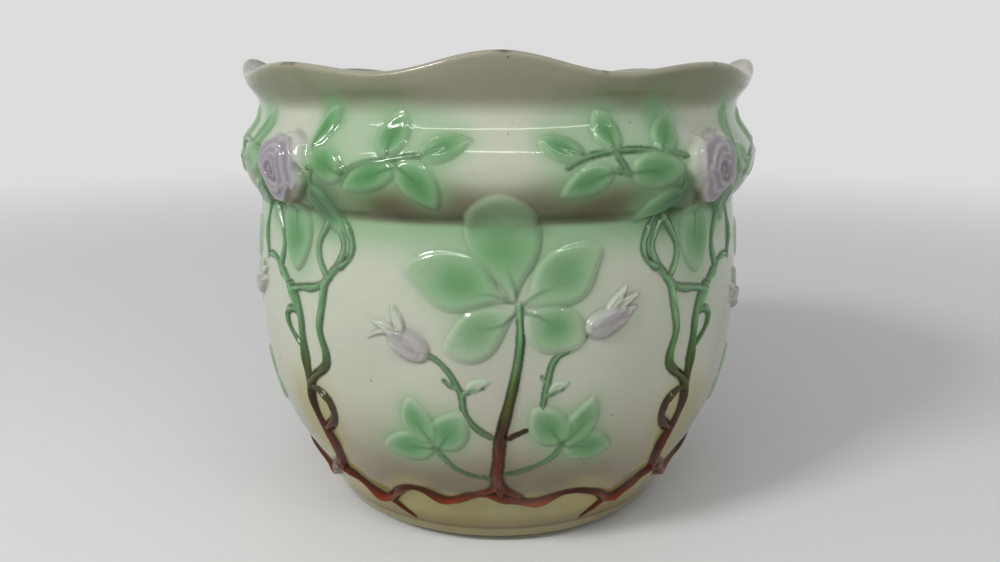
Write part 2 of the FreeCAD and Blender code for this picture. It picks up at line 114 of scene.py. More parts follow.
# The outside of the wall, from the heel to the lip: radius and height against the way along it
bellyRise = pot["bellyWidest"] - pot["footHeight"]
bellySwell = pot["bellyRadius"] - pot["heelRadius"]
bellyLine = [(pot["heelRadius"] + out * bellySwell, pot["footHeight"] + up * bellyRise)
             for up, out in bellyShape]
bellyLine.append((pot["shoulderRadius"], pot["shoulderHeight"]))
rollRise = pot["neckHeight"] - pot["shoulderHeight"]
rollBulge = pot["rollRadius"] - (pot["shoulderRadius"] + pot["neckRadius"]) / 2
rollLine = [(pot["shoulderRadius"] + up * (pot["neckRadius"] - pot["shoulderRadius"]) + out * rollBulge,
             pot["shoulderHeight"] + up * rollRise) for up, out in rollShape]
rimLine = [(pot["neckRadius"] + out * (pot["rimRadius"] - pot["neckRadius"]),
            pot["neckHeight"] + up * (pot["rimHeight"] - pot["neckHeight"])) for up, out in rimShape]
wallPoints = np.concatenate([smoothLine(bellyLine, 1200)[:-1], smoothLine(rollLine, 500)[:-1],
                             smoothLine(rimLine, 240)])
wallWay = np.concatenate([[0.0], np.cumsum(np.linalg.norm(np.diff(wallPoints, axis=0), axis=1))])
wayStep = 0.2
evenWay = np.arange(0, wallWay[-1], wayStep)
wallR = blur(np.interp(evenWay, wallWay, wallPoints[:, 0]), pot["creaseRounding"] / wayStep)
wallZ = blur(np.interp(evenWay, wallWay, wallPoints[:, 1]), pot["creaseRounding"] / wayStep)
# relief is lifted along a smoother direction than the wall's own, so that it can cross the crease
liftReach = 5.0 / wayStep
liftOut = np.gradient(blur(wallZ, liftReach))
liftUp = -np.gradient(blur(wallR, liftReach))
liftSize = np.hypot(liftOut, liftUp)
liftOut, liftUp = liftOut / liftSize, liftUp / liftSize


def wayOf(height):
    return np.interp(height, wallZ, evenWay)


def radiusAt(height):
    return np.interp(height, wallZ, wallR)


def placed(azimuth, radius, height):
    angle = np.radians(azimuth)
    return np.stack([radius * np.sin(angle), -radius * np.cos(angle), height + 0 * angle], -1)


def onWall(azimuth, way):
    return placed(azimuth, np.interp(way, evenWay, wallR), np.interp(way, evenWay, wallZ))


def liftAt(azimuth, way):
    return placed(azimuth, np.interp(way, evenWay, liftOut), np.interp(way, evenWay, liftUp))


print("jardiniere: wall line", round(float(evenWay[-1])), "mm along")

# Glaze colours, as they look (sRGB, 0 to 255); a few darker ones are painted shade, on the lower belly,
# under the roll and by the foot; the last four lie along edges, where glaze gathers and, on the lower
# right, shade is painted
glaze = dict(cream=(186, 191, 172), ivory=(188, 184, 160), beige=(132, 130, 106), blush=(160, 150, 144),
             mist=(136, 172, 130), straw=(156, 147, 86), shadow=(122, 114, 92), umberShade=(80, 60, 34),
             olive=(94, 106, 66), underRollShade=(84, 70, 50), crease=(66, 62, 36), leafPale=(170, 196, 164),
             leafMid=(102, 154, 100), leafDeep=(54, 116, 56), leafDark=(24, 68, 30),
             stemMint=(116, 166, 118), stemGreen=(68, 114, 58), stemOlive=(70, 76, 24),
             stemDark=(60, 40, 14), stemBrown=(90, 34, 8), rootBrown=(94, 36, 10), rootRed=(132, 52, 16),
             rootDark=(40, 12, 2), lavender=(150, 144, 152), lavenderDeep=(106, 96, 106),
             petalPale=(184, 184, 176), worn=(58, 42, 30), lip=(156, 152, 134), foot=(142, 138, 96),
             leafLine=(72, 92, 54), barkLine=(44, 30, 12), budLine=(112, 102, 92), roseLine=(84, 76, 74))
glaze = {name: np.array(colour) / 255.0 for name, colour in glaze.items()}


def mix(under, over, share):
    # the upper colour may be a glaze's name
    if isinstance(over, str):
        over = glaze[over]
    share = np.asarray(share)[..., None]
    return under + (over - under) * share


def plainTint(name, like):
    return glaze[name] + np.zeros(like.shape + (3,))


def toLinear(values):
    values = np.clip(values, 0, 1)
    return np.where(values <= 0.04045, values / 12.92, ((values + 0.055) / 1.055) ** 2.4)


# Sprayed colour, laid over leaves and wall alike: azimuth, height, half length and half width in mm,
# lean in degrees from upright, strength, colour
sprays = []


def sprayLeaf(spine, width, strength, deep):
    (a0, h0), (a1, h1), (a2, h2) = spine
    scale = math.radians(1) * radiusAt(h1)
    length = math.hypot((a2 - a0) * scale, h2 - h0)
    lean = math.degrees(math.atan2((a2 - a0) * scale, h2 - h0))
    middle = ((a0 + 2 * a1 + a2) / 4, (h0 + 2 * h1 + h2) / 4)
    sprays.append((*middle, length * 0.76, width * 0.84, lean, 0.5 * strength, "mist"))
    sprays.append((*middle, length * 0.54, width * 0.6, lean, 0.85 * strength, "leafMid"))
    sprays.append((*middle, length * 0.3, width * 0.34, lean, deep, "leafDeep"))


def wallTint(azimuth, height):
    # the pot's own glaze, sprayed in soft bands and spots, alike on the four sides
    side = np.abs(azimuth - 90 * np.round(azimuth / 90))
    corner = 45 - side
    onRoll = step(206, 209, height) * step(272, 262, height)
    onRim = step(258, 270, height)
    # height over the root's upper edge
    above = height - (44 - 14 * step(22, 33, side) + 16 * step(34, 44, side))
    tint = plainTint("cream", side)
    for name, share in (
            ("ivory", 0.5 * step(150, 60, height) * step(206, 204, height)),
            # green under the roll, fading down
            ("mist", 0.6 * step(178, 200, height) * step(210, 206, height)),
            ("leafMid", 0.35 * step(190, 205, height) * step(211, 207, height)),
            # the roll: cream above, green where the leaves are; olive and brown below are painted shade on
            # its underside
            ("mist", 0.5 * onRoll * step(4, 12, side) * step(2, 10, corner)),
            ("olive", 0.55 * onRoll * step(238, 218, height) * (0.4 + 0.6 * step(0, 9, side))),
            ("underRollShade", 0.85 * onRoll * step(230, 212, height)),
            ("stemOlive", 0.56 * onRoll * step(234, 212, height) * step(6, 26, side)),
            # painted shade: the darkest band, in the crease under the roll
            ("crease", 0.75 * step(214, 208, height) * step(203.5, 206.5, height)),
            # the rim: beige, with green over the crease
            ("beige", 0.85 * onRim),
            ("olive", 0.45 * onRim * step(12, 24, side)),
            # painted shade: the lower belly greyer and darker towards the foot
            ("shadow", 0.75 * step(116, 50, height)),
            # painted shade in umber over the roots; straw below them and beside the vines
            ("umberShade", 0.36 * step(44, 2, above) * step(-2, 3, above) * step(46, 30, side)),
            ("straw", 0.85 * step(3, -4, above)),
            ("straw", 0.6 * step(17, 5, above) * step(13, 22, side)),
            # painted shade darkening down to the heel, and a painted shadow line in the groove above the
            # pale foot
            ("umberShade", 0.4 * step(26, 13, height)),
            ("foot", 0.85 * step(12.4, 10.8, height)),
            ("umberShade", 0.55 * np.exp(-((height - 12.8) / 0.9) ** 2)),
            ("straw", 0.7 * step(12, 3, corner) * step(126, 84, height) * step(34, 50, height))):
        tint = mix(tint, name, share)
    for spot, level, long, wide, lean, strength, name in sprays:
        across = ((azimuth - spot + 45) % 90 - 45) * radiusAt(level) * math.pi / 180
        upwards = height - level
        turn = math.radians(lean)
        along = (across * math.sin(turn) + upwards * math.cos(turn)) / long
        aside = (across * math.cos(turn) - upwards * math.sin(turn)) / wide
        tint = mix(tint, name, strength * np.exp(-1.5 * (along ** 2 + aside ** 2) ** 1.25))
    return tint


# Node maths: a socket that adds its nodes as it is used in an expression
class Signal:
    def __init__(self, tree, socket):
        self.tree, self.socket = tree, socket

    def node(self, kind, settings=(), **values):
        made = self.tree.nodes.new(kind)
        for name, value in dict(settings).items():
            if name == "stops":
                ramp = made.color_ramp
                for place, (spot, tone) in enumerate(value):
                    element = ramp.elements[place] if place < 2 else ramp.elements.new(spot)
                    element.position = spot
                    element.color = (tone, tone, tone, 1)
            else:
                setattr(made, name, value)
        for name, value in values.items():
            numbered = name.startswith("input")
            socket = made.inputs[int(name[5:]) if numbered else name.replace("_", " ")]
            if isinstance(value, Signal):
                self.tree.links.new(value.socket, socket)
            else:
                socket.default_value = value
        return made

    def take(self, made, name=0):
        return Signal(self.tree, made.outputs[name])

    def calc(self, kind, a, b=0.0):
        return self.take(self.node("ShaderNodeMath", dict(operation=kind), input0=a, input1=b))

    def __add__(self, other):
        return self.calc("ADD", self, other)

    def __sub__(self, other):
        return self.calc("SUBTRACT", self, other)

    def __rsub__(self, other):
        return self.calc("SUBTRACT", other, self)

    def __mul__(self, other):
        return self.calc("MULTIPLY", self, other)

    __radd__ = __add__
    __rmul__ = __mul__

    def between(self, low, high):
        return self.take(self.node("ShaderNodeMapRange", dict(interpolation_type="SMOOTHSTEP"), Value=self,
                                   From_Min=low, From_Max=high))

    def noise(self, scale, detail=3.0, roughness=0.55):
        return self.take(self.node("ShaderNodeTexNoise", Vector=self, Scale=scale, Detail=detail,
                                   Roughness=roughness))

    def cells(self, scale, feature="F1"):
        return self.take(self.node("ShaderNodeTexVoronoi", dict(feature=feature), Vector=self, Scale=scale),
                         "Distance")

    def mixed(self, other, share):
        made = self.node("ShaderNodeMix", dict(data_type="RGBA"))
        for place, value in ((6, self), (7, other), (0, share)):
            if isinstance(value, Signal):
                self.tree.links.new(value.socket, made.inputs[place])
            else:
                made.inputs[place].default_value = value
        return self.take(made, 2)


# A node tree that turns a profile round Z, with a waved lip
def turnedShellTree():
    tree = bpy.data.node_groups.new("turnedShell", "GeometryNodeTree")
    for name, kind in (("Profile", "Geometry"), ("Rows", "Int"), ("Segments", "Int"), ("Lobes", "Int"),
                       ("Sides", "Int"), ("Side Rise", "Float"), ("Corner Rise", "Float"),
                       ("Wave Start", "Float"), ("Wave Top", "Float"), ("Finish", "Material")):
        tree.interface.new_socket(name, in_out="INPUT", socket_type="NodeSocket" + kind)
    tree.interface.new_socket("Shell", in_out="OUTPUT", socket_type="NodeSocketGeometry")
    start = Signal(tree, None)
    source = start.node("NodeGroupInput")
    given = {socket.name: start.take(source, socket.name) for socket in source.outputs if socket.name}
    spot = start.take(start.node("GeometryNodeInputPosition"))
    where = start.node("ShaderNodeSeparateXYZ", Vector=spot)
    angle = (start.take(where, "X") + 0.5) * (2 * math.pi)
    row = start.calc("ROUND", (start.take(where, "Y") + 0.5) * (given["Rows"] - 1))
    profile = start.node("GeometryNodeSampleIndex", dict(data_type="FLOAT_VECTOR", domain="POINT"),
                         Geometry=given["Profile"], Value=spot, Index=row)
    at = start.node("ShaderNodeSeparateXYZ", Vector=start.take(profile, "Value"))
    # the lip dips between its lobes, and the dips over the corners are shallower
    sideRise, cornerRise = given["Side Rise"], given["Corner Rise"]
    swing = (sideRise - cornerRise) * 0.5 * start.calc("COSINE", angle * given["Sides"])
    lobe = (start.calc("COSINE", angle * given["Lobes"]) + 1) * 0.5
    dip = ((sideRise + cornerRise) * 0.5 + swing) * lobe - sideRise
    drop = dip * start.take(at, "Z").between(given["Wave Start"], given["Wave Top"])
    radius = start.take(at, "X") + drop * 0.3
    point = start.node("ShaderNodeCombineXYZ", X=radius * start.calc("SINE", angle),
                       Y=radius * start.calc("COSINE", angle) * -1, Z=start.take(at, "Z") + drop)
    shape = start.take(start.node("GeometryNodeMeshGrid", Size_X=1, Size_Y=1,
                                  Vertices_X=given["Segments"] + 1, Vertices_Y=given["Rows"]))
    for kind, values in (("GeometryNodeSetPosition", dict(Position=start.take(point))),
                         ("GeometryNodeMergeByDistance", dict(Distance=0.00002)),
                         ("GeometryNodeRealizeInstances", {}),
                         ("GeometryNodeSetMaterial", dict(Material=given["Finish"]))):
        shape = start.take(start.node(kind, Geometry=shape, **values))
    start.node("NodeGroupOutput", Shell=shape)
    return tree


# gloss is the roughness, mirror the index of refraction
finishes = dict(
    body=dict(gloss=0.085, specks=0.75, crazing=0.3, ripple=0.3, pool=0.0, mirror=1.48),
    foot=dict(gloss=0.16, specks=0.6, crazing=0.3, ripple=0.5, pool=0.3, mirror=1.45),
    leaf=dict(gloss=0.085, specks=0.3, crazing=0.25, ripple=0.6, pool=0.3, mirror=1.48),
    bark=dict(gloss=0.12, specks=0.0, crazing=0.0, ripple=1.1, pool=0.6, mirror=1.3),
    vine=dict(gloss=0.11, specks=0.0, crazing=0.0, ripple=1.0, pool=0.6, mirror=1.34),
    root=dict(gloss=0.12, specks=0.0, crazing=0.0, ripple=1.2, pool=0.6, mirror=1.28),
    bud=dict(gloss=0.1, specks=0.2, crazing=0.2, ripple=0.5, pool=0.3, mirror=1.45),
    rose=dict(gloss=0.1, specks=0.15, crazing=0.2, ripple=0.6, pool=0.3, mirror=1.45))


def glazeMaterial(name, gloss, specks, crazing, ripple, pool, mirror):
    material = bpy.data.materials.new(name)
    material.use_nodes = True
    tree = material.node_tree
    shader = tree.nodes["Principled BSDF"]
    start = Signal(tree, None)
    place = start.take(start.node("ShaderNodeTexCoord"), "Object")
    tint = start.take(start.node("ShaderNodeVertexColor", dict(layer_name="glaze")), "Color")
    # the glaze lies thicker and thinner in broad soft patches, and its colour breaks up in fine mottling
    broad = place.noise(26.0, 2.0)
    fine = place.noise(210.0, 4.0, 0.65)
    tint = tint.mixed((0.62, 0.6, 0.5, 1), (broad.between(0.45, 0.8)) * 0.10)
    dark = start.take(start.node("ShaderNodeHueSaturation", Color=tint, Value=0.55, Saturation=1.15))
    tint = tint.mixed(dark, fine.between(0.5, 0.78) * (0.12 + 0.3 * pool))
    # iron specks, and fine crazing lines
    spots = place.cells(95.0)
    blot = place.noise(340.0, 2.0)
    speck = (1 - (spots + blot * 0.12).between(0.085, 0.13)) * place.noise(33.0, 1.0).between(0.5, 0.62)
    tint = tint.mixed((0.045, 0.03, 0.018, 1), speck * specks)
    wander = start.take(start.node("ShaderNodeVectorMath", dict(operation="SCALE"),
                                   input0=place.noise(90.0, 1.0), Scale=0.006))
    wander = start.take(start.node("ShaderNodeVectorMath", dict(operation="ADD"), input0=place,
                                   input1=wander))
    cracks = 1 - wander.cells(88.0, "DISTANCE_TO_EDGE").between(0.004, 0.022)
    tint = tint.mixed((0.24, 0.2, 0.12, 1), cracks * (crazing * 0.22) * broad.between(0.4, 0.62))
    tree.links.new(tint.socket, shader.inputs["Base Color"])
    rough = gloss + fine.between(0.4, 0.8) * 0.05 + broad.between(0.5, 0.8) * 0.04
    tree.links.new(rough.socket, shader.inputs["Roughness"])
    relief = place.noise(58.0, 2.0) * 1.0 + fine * 0.12
    bump = start.node("ShaderNodeBump", Strength=0.25, Distance=0.0006 * ripple, Height=relief)
    tree.links.new(bump.outputs[0], shader.inputs["Normal"])
    shader.inputs["IOR"].default_value = mirror
    return material


materials = {part + "_glaze": glazeMaterial(part + "Glaze", **finish) for part, finish in finishes.items()}
shellTree = turnedShellTree()
print("jardiniere: glazes", len(materials))


def setTint(mesh, tints):
    layer = mesh.color_attributes.new("glaze", "FLOAT_COLOR", "POINT")
    values = np.ones((len(mesh.vertices), 4), np.float32)
    values[:, :3] = toLinear(tints)
    layer.data.foreach_set("color", values.ravel())
    mesh.color_attributes.active_color = layer


def dressed(mesh, name, slotName, *nodes):
    piece = bpy.data.objects.new(name, mesh)
    bpy.context.scene.collection.objects.link(piece)
    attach(piece, "root")
    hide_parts(*nodes)
    return piece


def turnedShell(name, profile, slotName, node, tintOf, waveStart=1.0, waveTop=2.0):
    # profile: closed line of (radius, height), outside first, going up
    curve = bpy.data.curves.new(name + "Line", "CURVE")
    curve.dimensions = "3D"
    line = curve.splines.new("POLY")
    line.points.add(len(profile) - 1)
    coordinates = np.zeros((len(profile), 4))
    coordinates[:, [0, 2]] = np.array(profile) * mm
    coordinates[:, 3] = 1
    line.points.foreach_set("co", coordinates.ravel())
    maker = bpy.data.objects.new(name + "Maker", curve)
    bpy.context.scene.collection.objects.link(maker)
    modifier = maker.modifiers.new("turned", "NODES")
    modifier.node_group = shellTree
    sizes = {"Rows": len(profile), "Segments": pot["segments"], "Lobes": pot["lobes"],
             "Sides": pot["sides"], "Side Rise": pot["sideRise"] * mm,
             "Corner Rise": pot["cornerRise"] * mm, "Wave Start": waveStart, "Wave Top": waveTop,
             "Finish": materials[slotName]}
    for socket in shellTree.interface.items_tree:
        if socket.name in sizes:
            modifier[socket.identifier] = sizes[socket.name]
    seen = maker.evaluated_get(bpy.context.evaluated_depsgraph_get())
    mesh = bpy.data.meshes.new_from_object(seen)
    maker.modifiers.remove(modifier)
    bpy.data.objects.remove(maker)
    mesh.name = name
    mesh.shade_smooth()
    mesh.set_sharp_from_angle(angle=math.radians(50))
    where = np.zeros(len(mesh.vertices) * 3)
    mesh.vertices.foreach_get("co", where)
    x, y, z = where.reshape(-1, 3).T / mm
    setTint(mesh, tintOf(np.degrees(np.arctan2(x, -y)), np.hypot(x, y), z))
    return dressed(mesh, name, slotName, node)


def outside(low, high, spacing):
    # the wall's line between two heights
    first, last = wayOf(low), wayOf(high)
    way = np.linspace(first, last, int((last - first) / spacing) + 1)
    return np.stack([np.interp(way, evenWay, wallR), np.interp(way, evenWay, wallZ)], 1)


def insideLine(low, high, thick, spacing):
    # the same line, moved inwards, going down
    line = outside(low, high, spacing)
    share = (line[:, 1] - low) / (high - low)
    line[:, 0] -= thick[0] + share * (thick[1] - thick[0])
    return line[::-1]


def insideTint(azimuth, radius, height):
    tint = wallTint(azimuth, height)
    inner = radius < radiusAt(np.clip(height, 6, 290)) - 4.0
    return np.where(inner[:, None], mix(glaze["cream"] + 0 * tint, "ivory", 0.5), tint)


# Foot ring, with its edges softened by the glaze and worn where it stands
foot = dict(soft=0.9, landing=7.5)


def footTint(azimuth, radius, height):
    # painted shade on the top of the foot ring, under the heel
    tint = mix(plainTint("foot", height), "umberShade", 0.7 * step(3.6, 5, height))
    return mix(tint, "worn", 0.5 * step(1.2, 0.2, height))


def footRing():
    outer, inner, high = pot["footRadius"], pot["footRadius"] - pot["footWidth"], pot["footHeight"]
    soft = foot["soft"]
    turned = ((1.0, 0.0), (0.35, 0.3 * soft), (0.0, soft))
    profile = [(outer - out * soft, height) for out, height in turned]
    profile += [(outer, 2.2), (outer, 3.6), (outer, high), (outer - 3, high), (outer - 6, high),
                (outer - 9, high), (inner, high), (inner, 3.4), (inner, 2.0)]
    profile += [(inner + out * soft, height) for out, height in turned[::-1]]
    profile += [(inner + 4, 0.0), (inner + foot["landing"], 0.0), (outer - soft, 0.0)]
    turnedShell("footRing", profile, "foot_glaze", "foot_ring", footTint)


# Belly: wall, rounded bend and floor; the bend is given by steps inwards and down
bowl = dict(heel=5.35, bendStart=16, bend=[(1.8, 5.5), (6, 11.0), (12.5, 15.0)], floor=(70, 45, 20, 0),
            under=(0, 30, 60, 90, 104))


def belly():
    high, low, floorTop = pot["shoulderHeight"], pot["footHeight"], pot["floorTop"]
    heel = pot["heelRadius"]
    inner = insideLine(floorTop + bowl["bendStart"], high, (pot["wall"], pot["wall"]), 3.0)
    radius, height = inner[-1]
    profile = [(heel - 1.6, low), (heel - 0.4, low + 0.1)]
    profile += [tuple(p) for p in outside(bowl["heel"], high, 1.35)] + [tuple(p) for p in inner]
    profile += [(radius - out, height - down) for out, down in bowl["bend"]]
    profile += [(radius - 20, floorTop)] + [(out, floorTop) for out in bowl["floor"]]
    profile += [(out, low) for out in bowl["under"]] + [(heel - 1.6, low)]
    turnedShell("bellyWall", profile, "body_glaze", "belly", insideTint)


def shoulderRoll():
    low, high = pot["shoulderHeight"], pot["neckHeight"]
    inner = insideLine(low, high, (pot["wall"], pot["wall"]), 2.4)
    profile = [tuple(p) for p in outside(low, high, 1.2)] + [tuple(p) for p in inner]
    turnedShell("shoulderRoll", profile + profile[:1], "body_glaze", "shoulder_roll", insideTint)


# Rim collar, with a rounded lip that is worn to the clay in places: waves a turn and their lag
lip = dict(rounding=2.3, wear=((7, 20), (17, 80), (41, 10), (97, 50)), waveStart=4.0)


def rimTint(azimuth, radius, height):
    tint = insideTint(azimuth, radius, height)
    middle, swing = (pot["sideRise"] + pot["cornerRise"]) / 2, (pot["sideRise"] - pot["cornerRise"]) / 2
    rise = middle + swing * np.cos(np.radians(pot["sides"] * azimuth))
    crest = pot["rimHeight"] - pot["sideRise"] + rise * (1 + np.cos(np.radians(pot["lobes"] * azimuth))) / 2
    tint = mix(tint, "lip", 0.8 * step(4.6, 1.2, crest - height))
    wear = sum(np.sin(np.radians(azimuth * waves + lag)) for waves, lag in lip["wear"])
    wear = wear + 0.8 * np.sin(np.radians(azimuth * 61)) * np.sin(np.radians(azimuth * 13 + 70))
    return mix(tint, "worn", 0.75 * step(1.6, 3.2, wear) * step(2.2, 0.8, crest - height))


def rimCollar():
    low, turn = pot["neckHeight"], lip["rounding"]
    top = pot["rimHeight"] - turn
    outer = outside(low, top, 1.0)
    inner = insideLine(low, top, (pot["wall"], pot["lipWall"]), 1.6)
    span = outer[-1][0] - inner[0][0]
    cap = [(inner[0][0] + span * (0.5 + 0.5 * math.cos(t)), outer[-1][1] + turn * math.sin(t))
           for t in np.linspace(0, math.pi, 9)[1:-1]]
    profile = [tuple(p) for p in outer] + cap + [tuple(p) for p in inner]
    turnedShell("rimCollar", profile + profile[:1], "body_glaze", "rim_collar", rimTint,
                (low + lip["waveStart"]) * mm, top * mm)


# The relief is a fine sheet over the wall, lifted by leaves, stems and petals
reliefSheet = dict(spacing=0.66, margin=2.4, back=1.5, marginLift=0.05)
# mm along the wall for one degree, near enough for a form that is laid out flat
stemDegree = math.radians(1) * 150
outlineDegree = math.radians(1) * 158
leafDegree = 2.7


class Sheet:
    def __init__(self, azimuths, heights, spacing=reliefSheet["spacing"]):
        first, last = wayOf(heights[0]), wayOf(heights[1])
        middleRadius = radiusAt(sum(heights) / 2)
        across = math.radians(azimuths[1] - azimuths[0]) * middleRadius
        self.azimuth = np.linspace(azimuths[0], azimuths[1], int(across / spacing) + 1)
        self.way = np.linspace(first, last, int((last - first) / spacing) + 1)
        self.a, self.w = np.meshgrid(self.azimuth, self.way, indexing="ij")
        self.wall = onWall(self.a, self.w)
        self.height = np.interp(self.w, evenWay, wallZ)
        self.lift = np.full(self.a.shape, -1.0)
        self.near = np.full(self.a.shape, 99.0)      # distance outside every form
        self.tint = wallTint(self.a, self.height)
        self.plain = self.tint.copy()
        self.line = np.zeros(self.a.shape)           # dark glaze gathered at edges, with painted shade on their lower right

    def window(self, azimuths, ways, margin):
        reach = margin / stemDegree
        i = np.searchsorted(self.azimuth, [min(azimuths) - reach, max(azimuths) + reach])
        j = np.searchsorted(self.way, [min(ways) - margin, max(ways) + margin])
        return slice(max(i[0] - 1, 0), i[1] + 1), slice(max(j[0] - 1, 0), j[1] + 1)

    def nearest(self, area, azimuths, ways):
        # distance to the nearest of the line's samples, and which one that is
        points = self.wall[area].reshape(-1, 3)
        samples = onWall(azimuths, ways)
        best = np.full(len(points), 1e9)
        which = np.zeros(len(points), int)
        for first in range(0, len(samples), 60):
            part = samples[first:first + 60]
            away = ((points[:, None, :] - part[None, :, :]) ** 2).sum(-1)
            closest = away.argmin(1)
            value = away[np.arange(len(points)), closest]
            better = value < best
            best[better] = value[better]
            which[better] = closest[better] + first
        shape = self.wall[area].shape[:2]
        return np.sqrt(best).reshape(shape), which.reshape(shape)

    def put(self, area, lift, tint, outsideBy):
        # the higher form shows
        self.near[area] = np.minimum(self.near[area], outsideBy)
        higher = lift > self.lift[area]
        self.lift[area] = np.where(higher, lift, self.lift[area])
        self.tint[area] = np.where((higher & (outsideBy < 0.9))[..., None], tint, self.tint[area])


# across a stem: share of its half width, share of its height
stemShape = np.array([(0, 1), (0.2, 0.98), (0.4, 0.92), (0.6, 0.79), (0.75, 0.63), (0.88, 0.43),
                      (1.0, 0.22), (1.12, 0.09), (1.25, 0.03), (1.4, 0.0), (9, 0.0)])
# a stem's height by its thickness, and how its strands wind: their slant, and mm for a turn
winder = dict(rise=0.62, slant=3.4, turn=34)


def rough(seed, share, count, samples=400):
    # smooth run of random swings along a path, alike at each run
    numbers = np.random.default_rng(seed).uniform(-1, 1, count + 3)
    swings = smoothLine(np.stack([np.arange(count + 3), numbers], 1), samples)[:, 1]
    return swings[np.clip((share * (samples - 1)).astype(int), 0, samples - 1)]


def stem(sheet, points, thickness, tintOf, seed=1, knots=0.0, strands=0.0, slim=0.78, melt=0.0):
    # round stem along (azimuth, height, share of the thickness); strands wind round it
    line = [(azimuth, wayOf(height), share) for azimuth, height, share in points]
    path = smoothLine([(a * stemDegree, w, s * 4) for a, w, s in line], 30 * len(line) + 40)
    azimuths, ways, shares = path[:, 0] / stemDegree, path[:, 1], path[:, 2] / 4
    length = np.hypot(np.diff(ways), np.diff(azimuths) * stemDegree).sum()
    area = sheet.window(azimuths, ways, thickness + 5)
    away, which = sheet.nearest(area, azimuths, ways)
    along = which / (len(path) - 1)
    swell = 1 + knots * rough(seed, along, max(4, int(length / 8)))
    size = np.maximum(shares[which], 0.12) * slim * swell
    half = thickness * size / 2
    ratio = away / half
    sign = np.sign(sheet.a[area] - azimuths[which])
    lift = winder["rise"] * thickness * size * np.interp(ratio, stemShape[:, 0], stemShape[:, 1])
    winding = np.cos(winder["slant"] * ratio * sign + 2 * math.pi * along * length / winder["turn"]
                     + 2 * rough(seed + 5, along, 8))
    lift *= 1 + strands * winding * step(1.1, 0.7, ratio)
    outsideBy = away - half * 1.1
    tint = tintOf(sheet.height[area], sheet.a[area], np.clip(ratio, 0, 1.4))
    tint = mix(tint, tint * 0.55, strands * 2.4 * step(0.1, -1, winding) * step(1.2, 0.8, ratio))
    # painted highlight on the upper left of a stem
    lit = -sign * ratio * step(1.3, 0.9, ratio)
    tint = mix(tint, "leafPale", 0.3 * step(0.3, 0.9, lit) * step(90, 130, sheet.height[area]))
    shown = np.maximum(lift, reliefSheet["marginLift"])
    sheet.put(area, np.where(outsideBy < reliefSheet["margin"], shown, -1), tint, outsideBy)
    # glaze gathered along the stem's edges, with painted shade heavier on its right
    edgeBy = (away - 1.1 * half) / np.maximum(0.3 * half, 0.6)
    poolAndShade = 0.6 * np.exp(-edgeBy ** 2) * (0.35 + 0.65 * step(-0.6, 0.6, sign * ratio))
    poolAndShade = poolAndShade * step(melt - 6, melt + 8, sheet.height[area])
    sheet.line[area] = np.maximum(sheet.line[area], poolAndShade)


def insideOf(azimuth, way, outline):
    # even-odd test of points against an outline
    inside = np.zeros(azimuth.shape, bool)
    ends = np.roll(outline, -1, axis=0)
    for (a0, w0), (a1, w1) in zip(outline, ends):
        if w0 != w1:
            crosses = (way > w0) != (way > w1)
            inside ^= crosses & (azimuth < (a1 - a0) * (way - w0) / (w1 - w0) + a0)
    return inside


def midrib(leaf, count):
    # a leaf is its midrib's base, middle and tip as (azimuth, height), then its width
    share = np.linspace(0, 1, count)
    parts = (1 - share) ** 2, 2 * share * (1 - share), share ** 2
    return tuple(sum(part * point[axis] for part, point in zip(parts, leaf)) for axis in (0, 1))


def ribOf(leaf):
    azimuths, heights = midrib(leaf, 8)
    return [(azimuths[:5], heights[:5])]


def leafOutline(leaf, count=30):
    # full leaf with a drawn-out tip round a midrib
    azimuths, heights = midrib(leaf, count)
    width = leaf[3]
    ways = wayOf(heights)
    scale = np.radians(1) * radiusAt(np.clip(heights, 6, 290))
    alongA, alongW = np.gradient(azimuths) * scale, np.gradient(ways)
    size = np.hypot(alongA, alongW)
    share = np.linspace(0, 1, count)
    full = np.sin(np.pi * share ** 0.85) ** 0.62 * width / 2
    full[-1] = full[0] = 0.3
    left = np.stack([azimuths - alongW / size * full / scale, ways + alongA / size * full], 1)
    right = np.stack([azimuths + alongW / size * full / scale, ways - alongA / size * full], 1)
    return np.concatenate([left, right[::-1]])


def closedOutline(points):
    # smooth closed line through given (azimuth, height) points
    line = [(azimuth * outlineDegree, wayOf(height)) for azimuth, height in points]
    rounded = smoothLine(line + [line[0]], 12 * len(points))
    rounded[:, 0] /= outlineDegree
    return rounded


